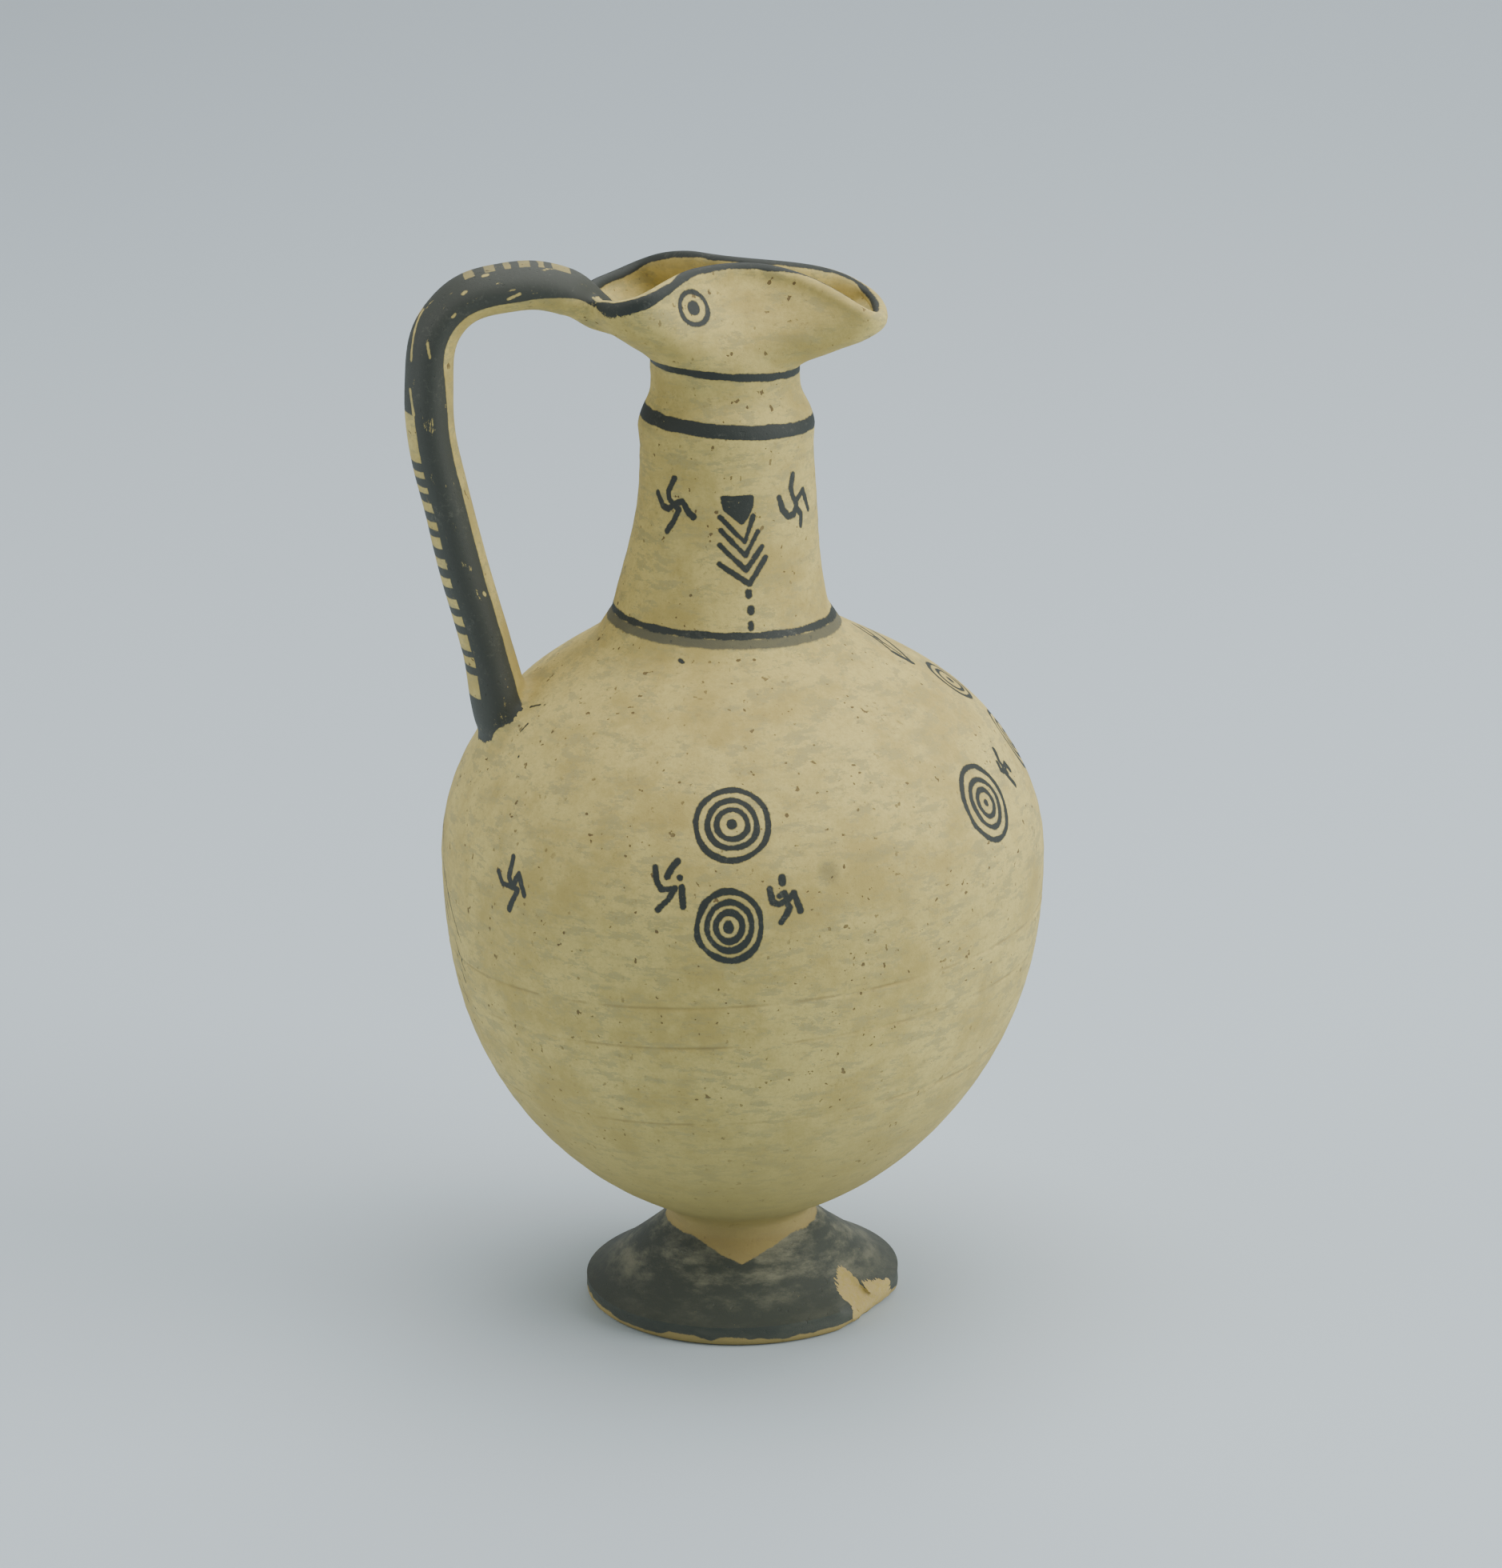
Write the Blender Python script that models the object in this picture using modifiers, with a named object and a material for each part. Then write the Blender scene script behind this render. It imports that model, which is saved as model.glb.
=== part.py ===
# Pottery pitcher with a pinched, beak-like mouth.
# One piece of fired clay: a thrown foot, body and neck, a mouth pressed together while the
# clay was soft, and a strap handle from the back of the lip down to the shoulder.
# Metres, +Z up. The origin is the centre of the foot's underside and the spout points to +X.

import math

import bpy
import bmesh
from mathutils import Matrix, Vector

# Foot: a low cone with a rounded rim, flat underneath
FOOT_RADIUS = 0.0447
FOOT_RIM_HEIGHT = 0.0058
FOOT_HOLLOW = 0.86
FOOT_EDGE_ROUND = 0.0022
WAIST_RADIUS = 0.0205
WAIST_HEIGHT = 0.0235
FOOT_TILT = 0.012

# Body: egg-shaped, widest above its middle
BELLY_RADIUS = 0.0843
BELLY_HEIGHT = 0.132
BODY_DEPTH_ABOVE = 0.0684
BODY_FULLNESS = 2.3
BODY_TAPER = 0.61
BODY_SHIFT = 0.0024
SHOULDER_END = math.radians(160.0)
WAIST_FILLET = 0.008
NECK_FILLET = 0.018
BODY_DEPTH_BELOW = BELLY_HEIGHT - WAIST_HEIGHT

# Neck: a slightly hollow cone that ends in a ridge, with a narrow throat above it
NECK_FOOT_RADIUS = 0.0300
NECK_FOOT_HEIGHT = 0.203
NECK_TOP_RADIUS = 0.0238
NECK_TOP_HEIGHT = 0.249
NECK_SAG = 0.0013
RIDGE_RADIUS = 0.0242
RIDGE_HEIGHT = 0.2545
THROAT_RADIUS = 0.0204
THROAT_HEIGHT = 0.2665
NECK_SHIFT = 0.0026

# Mouth: thrown as a round bowl and pinched, so that a wide back lobe and a spout are left
MOUTH_WALL = 0.0044
MOUTH_BACK_REACH = 0.0363
MOUTH_SPOUT_REACH = 0.0423
LIP_HEIGHT = 0.3000
LIP_CREST_X = -0.0068
LIP_BACK_FALL = 0.0071
LIP_BACK_FALL_LENGTH = 0.027
LIP_SPOUT_FALL = 0.0137
LIP_SPOUT_BEND = 2.75
LIP_BLUNTNESS = 0.80
PINCH_X = 0.0085
PINCH_GAP = 0.0016
PINCH_SPOUT_LENGTH = 0.0343
PINCH_BACK_LENGTH = 0.0328
CHEEK_FULLNESS = 0.0030
FLARE_START = 0.28
FOLD_START = 0.12
BACK_OPENNESS = 0.82
BACK_ROUNDNESS = 6

WALL = 0.0050

# Handle: an oval strap
HANDLE_WIDTH = 0.0230
HANDLE_THICKNESS = 0.0134
HANDLE_TURN = math.radians(8.0)
HANDLE_TOP_REACH = 0.0583
HANDLE_TOP_HEIGHT = 0.2952
HANDLE_REACH = 0.0810
HANDLE_REACH_HEIGHT = 0.2670
HANDLE_ROOT_HEIGHT = 0.1760
HANDLE_ROOT_SPREAD = 1.25
HANDLE_ROOT_SINK = 0.0160

# Break in the foot's rim, right of the front: two flakes that meet at a step, and a worn edge
NEAR_FLAKE_TURN = math.radians(-41.0)
NEAR_FLAKE_HEADING = math.radians(-46.0)
NEAR_FLAKE_WIDTH = 0.0120
NEAR_FLAKE_LENGTH = 0.0180
NEAR_FLAKE_DEPTH = 0.0020
FAR_FLAKE_TURN = math.radians(-27.0)
FAR_FLAKE_HEADING = math.radians(-52.0)
FAR_FLAKE_WIDTH = 0.0120
FAR_FLAKE_LENGTH = 0.0100
FAR_FLAKE_DEPTH = 0.0010
RIM_LOSS = 0.0015
RIM_LOSS_TURN = math.radians(-30.0)

# Fineness of the mesh: sides round the jug, and rings up each stretch of its profile
SIDES = 48
THROAT_RINGS = 6
NECK_RINGS = 6
BODY_RINGS = 20
FOOT_RINGS = 6
FOOT_EDGE_RINGS = 4
INSIDE_BODY_RINGS = 16
INSIDE_NECK_RINGS = 4
INSIDE_THROAT_RINGS = 3
COLLAR_INSIDE_RINGS = 9
COLLAR_RINGS = 12
LIP_RINGS = 5
JOIN_DISTANCE = 0.00001

CLAY_COLOUR = (0.56, 0.45, 0.27, 1.0)
CLAY_ROUGHNESS = 0.85


def lerp(start, end, share):
    return start + (end - start) * share


def ease(share):
    share = min(1.0, max(0.0, share))
    return share * share * (3.0 - 2.0 * share)


def smooth_max(first, second, blend):
    """The larger of two radii, with a fillet where they cross."""
    near = max(0.0, blend - abs(first - second)) / blend
    return max(first, second) + near * near * blend / 4.0


def body_depth(angle, inset):
    depth = BODY_DEPTH_BELOW if angle < math.pi / 2 else BODY_DEPTH_ABOVE
    return depth - inset


def body_radius(height, inset):
    """Radius of the egg-shaped body: half an ellipse above, and a fuller taper below."""
    widest = BELLY_RADIUS - inset
    if height < BELLY_HEIGHT:
        share = min(1.0, (BELLY_HEIGHT - height) / (BODY_DEPTH_BELOW - inset))
        return widest * (1.0 - share ** BODY_FULLNESS) ** BODY_TAPER
    share = min(1.0, (height - BELLY_HEIGHT) / (BODY_DEPTH_ABOVE - inset))
    return widest * math.sqrt(1.0 - share * share)


def neck_radius(height, inset):
    share = (height - NECK_FOOT_HEIGHT) / (NECK_TOP_HEIGHT - NECK_FOOT_HEIGHT)
    sag = 4.0 * NECK_SAG * share * (1.0 - share) if 0.0 < share < 1.0 else 0.0
    return lerp(NECK_FOOT_RADIUS, NECK_TOP_RADIUS, share) - sag - inset


def jug_radius(height, inset=0.0):
    """Radius of the thrown jug between the waist and the top of the neck."""
    radius = body_radius(height, inset)
    if height > BELLY_HEIGHT:
        return smooth_max(radius, neck_radius(height, inset), NECK_FILLET)
    if inset == 0.0:
        return smooth_max(radius, WAIST_RADIUS, WAIST_FILLET)
    return radius


def throat_radius(height, inset):
    """Radius from the ridge in to the throat."""
    share = ease((height - RIDGE_HEIGHT) / (THROAT_HEIGHT - RIDGE_HEIGHT))
    return lerp(RIDGE_RADIUS, THROAT_RADIUS, share) - inset


def lean(height):
    """How far hand-throwing has moved the axis along X at a height."""
    reach = BELLY_HEIGHT - WAIST_HEIGHT if height < BELLY_HEIGHT else BODY_DEPTH_ABOVE
    body = ease(1.0 - abs(height - BELLY_HEIGHT) / reach)
    neck = ease(1.0 - abs(height - NECK_FOOT_HEIGHT) / (NECK_FILLET * 2))
    return BODY_SHIFT * body - NECK_SHIFT * neck


def spaced(first, last, count):
    """Evenly spaced values, with both ends."""
    return [lerp(first, last, step / (count - 1)) for step in range(count)]


def body_heights(first, inset, count):
    """Heights evenly round the body's outline, from an angle up from its lowest point."""
    return [BELLY_HEIGHT - body_depth(angle, inset) * math.cos(angle)
            for angle in spaced(first, SHOULDER_END, count)]


def outside_profile():
    """(radius, height) from the throat down the outer side to the centre of the underside."""
    points = [(throat_radius(height, 0.0), height)
              for height in spaced(THROAT_HEIGHT, RIDGE_HEIGHT, THROAT_RINGS)]
    points += [(jug_radius(height), height)
               for height in spaced(NECK_TOP_HEIGHT, NECK_FOOT_HEIGHT, NECK_RINGS)]
    waist_top = WAIST_HEIGHT + FOOT_EDGE_ROUND
    first = math.acos((BELLY_HEIGHT - waist_top) / BODY_DEPTH_BELOW)
    points += [(jug_radius(height), height)
               for height in reversed(body_heights(first, 0.0, BODY_RINGS))]
    for share in spaced(1.0, 0.0, FOOT_RINGS):
        radius = lerp(FOOT_RADIUS, WAIST_RADIUS, share ** FOOT_HOLLOW)
        height = lerp(FOOT_RIM_HEIGHT, WAIST_HEIGHT, share)
        points.append((smooth_max(radius, WAIST_RADIUS, FOOT_EDGE_ROUND), height))
    for angle in spaced(0.0, math.pi / 2, FOOT_EDGE_RINGS):
        points.append((FOOT_RADIUS - FOOT_EDGE_ROUND * (1.0 - math.cos(angle)),
                       FOOT_EDGE_ROUND * (1.0 - math.sin(angle))))
    points.append((0.0, 0.0))
    return points


def inside_profile(inset):
    """(radius, height) from the centre of the inner floor up to the throat."""
    heights = body_heights(0.0, inset, INSIDE_BODY_RINGS)
    points = [(0.0, heights[0])]
    points += [(jug_radius(height, inset), height) for height in heights[1:]]
    points += [(jug_radius(height, inset), height)
               for height in spaced(NECK_FOOT_HEIGHT, NECK_TOP_HEIGHT, INSIDE_NECK_RINGS)]
    points += [(throat_radius(height, inset), height)
               for height in spaced(RIDGE_HEIGHT, THROAT_HEIGHT, INSIDE_THROAT_RINGS)]
    return points


def collar_profile():
    """(radius, height) up the inside of the thrown collar, over its lip and down outside."""
    middle = THROAT_RADIUS - MOUTH_WALL / 2
    half = MOUTH_WALL / 2
    top = LIP_HEIGHT - half
    points = [(middle - half, height)
              for height in spaced(THROAT_HEIGHT, top, COLLAR_INSIDE_RINGS)[1:]]
    for angle in spaced(math.pi, 0.0, LIP_RINGS)[1:-1]:
        points.append((middle + half * math.cos(angle), top + half * math.sin(angle)))
    points += [(middle + half, height)
               for height in spaced(top, THROAT_HEIGHT, COLLAR_RINGS)[:-1]]
    return points


def pinch(distance):
    """Share of its thrown width that the lip keeps, at a distance along the spout line."""
    length = PINCH_SPOUT_LENGTH if distance > PINCH_X else PINCH_BACK_LENGTH
    closed = (PINCH_GAP + MOUTH_WALL) / (MOUTH_BACK_REACH + MOUTH_SPOUT_REACH)
    return closed + (1.0 - closed) * ((distance - PINCH_X) / length) ** 2


def lip_point(angle):
    """Middle of the lip's wall at the top, from the neck's axis."""
    half_length = (MOUTH_SPOUT_REACH + MOUTH_BACK_REACH) / 2
    distance = (MOUTH_SPOUT_REACH - MOUTH_BACK_REACH) / 2 + half_length * math.cos(angle)
    blunt = math.copysign(abs(math.sin(angle)) ** LIP_BLUNTNESS, math.sin(angle))
    kept = pinch(distance)
    if distance < PINCH_X:
        kept /= (1.0 + (kept / BACK_OPENNESS) ** BACK_ROUNDNESS) ** (1 / BACK_ROUNDNESS)
    if distance < LIP_CREST_X:
        fall = LIP_BACK_FALL * ease((LIP_CREST_X - distance) / LIP_BACK_FALL_LENGTH)
    else:
        run = MOUTH_SPOUT_REACH - LIP_CREST_X
        fall = LIP_SPOUT_FALL * ((distance - LIP_CREST_X) / run) ** LIP_SPOUT_BEND
    height = LIP_HEIGHT - MOUTH_WALL / 2 - fall
    return Vector((distance, half_length * blunt * kept, height))


def mouth_point(angle, rise):
    """Middle of the mouth's wall, rise running from 0 at the throat to 1 at the lip."""
    middle = THROAT_RADIUS - MOUTH_WALL / 2
    lip = lip_point(angle)
    flare = ease((rise - FLARE_START) / (1.0 - FLARE_START))
    fold = ease((rise - FOLD_START) / (1.0 - FOLD_START))
    cheek = CHEEK_FULLNESS * math.sin(angle) * math.sin(math.pi * ease(rise))
    return Vector((lerp(middle * math.cos(angle), lip.x, flare),
                   lerp(middle * math.sin(angle), lip.y, fold) + cheek,
                   lerp(THROAT_HEIGHT, lip.z, rise)))


def formed(point):
    """Where a point of the thrown jug lies once the neck leans and the mouth is pinched."""
    if point.z <= THROAT_HEIGHT:
        tilt = ease(point.z / FOOT_RIM_HEIGHT) * (1.0 - ease(point.z / WAIST_HEIGHT))
        return Vector((point.x + lean(point.z), point.y, point.z + point.x * FOOT_TILT * tilt))
    angle = math.atan2(point.y, point.x)
    offset = math.hypot(point.x, point.y) - (THROAT_RADIUS - MOUTH_WALL / 2)
    top = LIP_HEIGHT - MOUTH_WALL / 2
    rise = min(1.0, (point.z - THROAT_HEIGHT) / (top - THROAT_HEIGHT))
    step = 0.001
    upward = (mouth_point(angle, rise) - mouth_point(angle, rise - step)).normalized()
    around = (mouth_point(angle + step, rise) - mouth_point(angle - step, rise)).normalized()
    outward = around.cross(upward).normalized()
    place = mouth_point(angle, rise) + outward * offset
    place += upward * max(0.0, point.z - top)
    return place + Vector((lean(THROAT_HEIGHT), 0.0, 0.0))


def clay_material():
    material = bpy.data.materials.new("fired_clay")
    material.use_nodes = True
    shader = material.node_tree.nodes["Principled BSDF"]
    shader.inputs["Base Color"].default_value = CLAY_COLOUR
    shader.inputs["Roughness"].default_value = CLAY_ROUGHNESS
    shader.inputs["Metallic"].default_value = 0.0
    return material


def make_mesh_object(source, name, collection):
    """A mesh object with the evaluated shape of another object, which is then removed."""
    graph = bpy.context.evaluated_depsgraph_get()
    mesh = bpy.data.meshes.new_from_object(source.evaluated_get(graph))
    mesh.name = name
    made = bpy.data.objects.new(name, mesh)
    made.matrix_world = source.matrix_world.copy()
    collection.objects.link(made)
    bpy.data.objects.remove(source)
    return made


def turned(points, name, collection):
    """A profile turned once round Z, then leaned and pinched."""
    mesh = bpy.data.meshes.new(name + "_profile")
    vertices = [(radius, 0.0, height) for radius, height in points]
    edges = [(first, first + 1) for first in range(len(points) - 1)]
    mesh.from_pydata(vertices, edges, [])
    profile = bpy.data.objects.new(name + "_profile", mesh)
    collection.objects.link(profile)
    screw = profile.modifiers.new("turn", "SCREW")
    screw.axis = "Z"
    screw.steps = SIDES
    screw.render_steps = SIDES
    screw.use_merge_vertices = True
    screw.merge_threshold = JOIN_DISTANCE
    bpy.context.view_layer.update()
    made = make_mesh_object(profile, name, collection)
    for vertex in made.data.vertices:
        vertex.co = formed(vertex.co)
    return made


def handle_points():
    """Centre line in the handle's own plane: (distance from the neck's axis, height, spread)."""
    lip = mouth_point(math.pi, 1.0)
    root_reach = jug_radius(HANDLE_ROOT_HEIGHT) - lean(HANDLE_ROOT_HEIGHT)

    def bow(out, up, spread):
        return (lerp(HANDLE_TOP_REACH, HANDLE_REACH, out),
                lerp(HANDLE_REACH_HEIGHT, HANDLE_TOP_HEIGHT, up), spread)

    def shank(inward, down, spread):
        return (lerp(HANDLE_REACH, root_reach, inward),
                lerp(HANDLE_REACH_HEIGHT, HANDLE_ROOT_HEIGHT, down), spread)

    def on_wall(rise, spread):
        place = mouth_point(math.pi, rise)
        return (-place.x, place.z, spread)

    sunk_reach = root_reach - HANDLE_THICKNESS / 2
    sunk_height = HANDLE_ROOT_HEIGHT - HANDLE_ROOT_SINK
    return [
        on_wall(0.56, 0.25),
        on_wall(0.85, 0.74),
        (lerp(-lip.x, HANDLE_TOP_REACH, 0.3), lerp(lip.z, HANDLE_TOP_HEIGHT, 0.55), 0.93),
        (HANDLE_TOP_REACH, HANDLE_TOP_HEIGHT, 0.96),
        bow(0.75, 0.76, 0.93),
        (HANDLE_REACH, HANDLE_REACH_HEIGHT, 0.98),
        shank(0.30, 0.40, 1.0),
        shank(0.81, 0.80, 1.03),
        shank(1.04, 1.00, HANDLE_ROOT_SPREAD),
        (sunk_reach, sunk_height, HANDLE_ROOT_SPREAD),
    ]


def make_handle(collection):
    """The strap: a round bar along the centre line, pressed flat across the handle's plane."""
    curve = bpy.data.curves.new("handle_line", "CURVE")
    curve.dimensions = "3D"
    curve.bevel_depth = HANDLE_THICKNESS / 2
    curve.bevel_resolution = 6
    curve.resolution_u = 4
    curve.use_fill_caps = True
    points = handle_points()
    spline = curve.splines.new("BEZIER")
    spline.bezier_points.add(len(points) - 1)
    for knot, (reach, height, spread) in zip(spline.bezier_points, points):
        knot.co = (-reach, 0.0, height)
        knot.handle_left_type = "AUTO"
        knot.handle_right_type = "AUTO"
        knot.radius = spread
    bar = bpy.data.objects.new("handle_line", curve)
    collection.objects.link(bar)
    bpy.context.view_layer.update()
    handle = make_mesh_object(bar, "handle", collection)
    build = bmesh.new()
    build.from_mesh(handle.data)
    bmesh.ops.remove_doubles(build, verts=build.verts, dist=JOIN_DISTANCE)
    bmesh.ops.recalc_face_normals(build, faces=build.faces)
    build.to_mesh(handle.data)
    build.free()
    flatten = Matrix.Diagonal((1.0, HANDLE_WIDTH / HANDLE_THICKNESS, 1.0, 1.0))
    turn = Matrix.Rotation(HANDLE_TURN, 4, "Z")
    move = Matrix.Translation((lean(THROAT_HEIGHT), 0.0, 0.0))
    handle.data.transform(move @ turn @ flatten)
    return handle


def make_block(name, transform, collection):
    """A cube of unit size placed and scaled by a transform."""
    bpy.ops.mesh.primitive_cube_add(size=1.0)
    block = bpy.context.object
    block.name = name
    block.data.name = name
    for owner in list(block.users_collection):
        owner.objects.unlink(block)
    collection.objects.link(block)
    block.data.transform(transform)
    return block


def make_flake(name, turn, heading, width, length, depth, collection):
    """A block whose lower face is the broken surface, sunk below the foot's cone at the rim."""
    thickness = FOOT_RADIUS / 2
    slope = math.atan2(WAIST_HEIGHT - FOOT_RIM_HEIGHT, FOOT_RADIUS - WAIST_RADIUS)
    size = Matrix.Diagonal((length * 2.0, width, thickness, 1.0))
    up = Matrix.Translation((0.0, 0.0, thickness / 2 - depth))
    tilt = Matrix.Rotation(slope + math.atan2(depth, length), 4, "Y")
    rim = Vector((FOOT_RADIUS * math.cos(turn), FOOT_RADIUS * math.sin(turn), FOOT_RIM_HEIGHT))
    transform = Matrix.Translation(rim) @ Matrix.Rotation(heading, 4, "Z") @ tilt @ up @ size
    return make_block(name, transform, collection)


def make_rim_loss(collection):
    """A block that takes a shallow chord off the foot's rim."""
    out = Matrix.Translation((FOOT_RADIUS * 1.5 - RIM_LOSS, 0.0, FOOT_RIM_HEIGHT))
    size = Matrix.Diagonal((FOOT_RADIUS, FOOT_RADIUS * 2, WAIST_HEIGHT, 1.0))
    return make_block("rim_loss", Matrix.Rotation(RIM_LOSS_TURN, 4, "Z") @ out @ size, collection)


def cut(target, cutter, operation):
    modifier = target.modifiers.new(cutter.name, "BOOLEAN")
    modifier.operation = operation
    modifier.solver = "EXACT"
    modifier.object = cutter
    cutter.hide_render = True
    cutter.display_type = "WIRE"


for old in list(bpy.data.objects):
    bpy.data.objects.remove(old)

parts = bpy.data.collections.new("pottery_pitcher")
cutters = bpy.data.collections.new("cutters")
bpy.context.scene.collection.children.link(parts)
bpy.context.scene.collection.children.link(cutters)

pitcher = turned(inside_profile(WALL)[:-1] + [(THROAT_RADIUS - MOUTH_WALL, THROAT_HEIGHT)]
                 + collar_profile() + outside_profile(), "pitcher", parts)
hollow = turned([(0.0, THROAT_HEIGHT)] + inside_profile(WALL / 2)[::-1], "hollow", cutters)
handle = make_handle(cutters)
cut(handle, hollow, "DIFFERENCE")
cut(pitcher, handle, "UNION")

near_flake = make_flake("near_flake", NEAR_FLAKE_TURN, NEAR_FLAKE_HEADING, NEAR_FLAKE_WIDTH,
                        NEAR_FLAKE_LENGTH, NEAR_FLAKE_DEPTH, cutters)
far_flake = make_flake("far_flake", FAR_FLAKE_TURN, FAR_FLAKE_HEADING, FAR_FLAKE_WIDTH,
                       FAR_FLAKE_LENGTH, FAR_FLAKE_DEPTH, cutters)
cut(pitcher, near_flake, "DIFFERENCE")
cut(pitcher, far_flake, "DIFFERENCE")
cut(pitcher, make_rim_loss(cutters), "DIFFERENCE")

pitcher.data.materials.append(clay_material())
pitcher.data.shade_smooth()
pitcher.data.set_sharp_from_angle(angle=math.radians(40.0))
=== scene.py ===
import math

import bmesh
import bpy
from mathutils import Matrix, Vector, geometry, kdtree, noise


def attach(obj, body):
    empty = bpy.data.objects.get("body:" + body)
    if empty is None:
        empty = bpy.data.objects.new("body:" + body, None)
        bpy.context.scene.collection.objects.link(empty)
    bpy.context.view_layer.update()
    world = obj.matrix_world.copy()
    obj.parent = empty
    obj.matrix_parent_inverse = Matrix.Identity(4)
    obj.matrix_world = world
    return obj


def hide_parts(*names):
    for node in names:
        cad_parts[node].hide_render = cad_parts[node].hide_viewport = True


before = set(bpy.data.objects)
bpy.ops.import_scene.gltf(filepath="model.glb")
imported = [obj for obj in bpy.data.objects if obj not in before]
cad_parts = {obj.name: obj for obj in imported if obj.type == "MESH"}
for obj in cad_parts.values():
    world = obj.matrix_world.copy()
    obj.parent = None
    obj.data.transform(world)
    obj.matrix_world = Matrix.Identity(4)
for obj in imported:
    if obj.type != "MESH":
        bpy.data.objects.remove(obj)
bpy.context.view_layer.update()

# The jug: buff clay thrown on a wheel in one go, with its foot, egg-shaped body and conical neck.
# The collar was pressed together while wet, so that a round back lobe and a spout are left.
# The sizes repeat the solid's, in metres, and the wall also has throwing ridges and dents.

FOOT_RADIUS = 0.0447
FOOT_RIM_HEIGHT = 0.0058
FOOT_HOLLOW = 0.86
FOOT_EDGE_ROUND = 0.0022
WAIST_RADIUS = 0.0205
WAIST_HEIGHT = 0.0235
FOOT_TILT = 0.012

BELLY_RADIUS = 0.0843
BELLY_HEIGHT = 0.132
BODY_DEPTH_BELOW = BELLY_HEIGHT - WAIST_HEIGHT
BODY_DEPTH_ABOVE = 0.0684
BODY_FULLNESS = 2.3
BODY_TAPER = 0.61
BODY_SHIFT = 0.0024
SHOULDER_END = math.radians(160.0)
WAIST_FILLET = 0.008
NECK_FILLET = 0.018

NECK_FOOT_RADIUS = 0.0300
NECK_FOOT_HEIGHT = 0.203
NECK_TOP_RADIUS = 0.0238
NECK_TOP_HEIGHT = 0.249
NECK_SAG = 0.0013
RIDGE_RADIUS = 0.0242
RIDGE_HEIGHT = 0.2545
THROAT_RADIUS = 0.0204
THROAT_HEIGHT = 0.2665
NECK_SHIFT = 0.0026

MOUTH_WALL = 0.0044
MOUTH_BACK_REACH = 0.0363
MOUTH_SPOUT_REACH = 0.0423
LIP_HEIGHT = 0.3000
LIP_CREST_X = -0.0068
LIP_BACK_FALL = 0.0071
LIP_BACK_FALL_LENGTH = 0.027
LIP_SPOUT_FALL = 0.0137
LIP_SPOUT_BEND = 2.75
LIP_BLUNTNESS = 0.80
BACK_ROUNDNESS = 6
PINCH_X = 0.0085
PINCH_GAP = 0.0016
PINCH_SPOUT_LENGTH = 0.0343
PINCH_BACK_LENGTH = 0.0328
CHEEK_FULLNESS = 0.0030
FLARE_START = 0.28
FOLD_START = 0.12
BACK_OPENNESS = 0.82
WALL = 0.0050

SIDES = 240
DENT = 0.00022
DENT_SIZE = 0.034
RIPPLE = 0.00007
RIPPLE_STEP = 0.0063
LINE_TILT = 0.055
LINE_DEPTH = 0.00045
LINE_HALF_WIDTH = 0.00055
LINE_HEIGHTS = (0.0780, 0.1030, 0.1150)


def lerp(start, end, share):
    return start + (end - start) * share


def ease(share):
    share = min(1.0, max(0.0, share))
    return share * share * (3.0 - 2.0 * share)


def smooth_max(first, second, blend):
    """The larger of two radii, with a fillet where they cross."""
    near = max(0.0, blend - abs(first - second)) / blend
    return max(first, second) + near * near * blend / 4.0


def body_radius(height, inset):
    widest = BELLY_RADIUS - inset
    if height < BELLY_HEIGHT:
        share = min(1.0, (BELLY_HEIGHT - height) / (BODY_DEPTH_BELOW - inset))
        return widest * (1.0 - share ** BODY_FULLNESS) ** BODY_TAPER
    share = min(1.0, (height - BELLY_HEIGHT) / (BODY_DEPTH_ABOVE - inset))
    return widest * math.sqrt(1.0 - share * share)


def neck_radius(height, inset):
    share = (height - NECK_FOOT_HEIGHT) / (NECK_TOP_HEIGHT - NECK_FOOT_HEIGHT)
    sag = 4.0 * NECK_SAG * share * (1.0 - share) if 0.0 < share < 1.0 else 0.0
    return lerp(NECK_FOOT_RADIUS, NECK_TOP_RADIUS, share) - sag - inset


def jug_radius(height, inset=0.0):
    """Radius of the thrown jug between the waist and the top of the neck."""
    if height < BELLY_HEIGHT:
        radius = body_radius(height, inset)
        return smooth_max(radius, WAIST_RADIUS, WAIST_FILLET) if inset == 0.0 else radius
    return smooth_max(body_radius(height, inset), neck_radius(height, inset), NECK_FILLET)


def throat_radius(height, inset):
    share = ease((height - RIDGE_HEIGHT) / (THROAT_HEIGHT - RIDGE_HEIGHT))
    return lerp(RIDGE_RADIUS, THROAT_RADIUS, share) - inset


def lean(height):
    """How far hand-throwing has moved the axis along X at a height."""
    reach = BODY_DEPTH_BELOW if height < BELLY_HEIGHT else BODY_DEPTH_ABOVE
    body = ease(1.0 - abs(height - BELLY_HEIGHT) / reach)
    neck = ease(1.0 - abs(height - NECK_FOOT_HEIGHT) / (NECK_FILLET * 2))
    return BODY_SHIFT * body - NECK_SHIFT * neck


def spaced(first, last, count):
    return [lerp(first, last, step / (count - 1)) for step in range(count)]


def body_heights(first, inset, count):
    """Heights evenly round the body's outline, from an angle up from its lowest point."""
    heights = []
    for angle in spaced(first, SHOULDER_END, count):
        depth = BODY_DEPTH_BELOW if angle < math.pi / 2 else BODY_DEPTH_ABOVE
        heights.append(BELLY_HEIGHT - (depth - inset) * math.cos(angle))
    return heights


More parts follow.
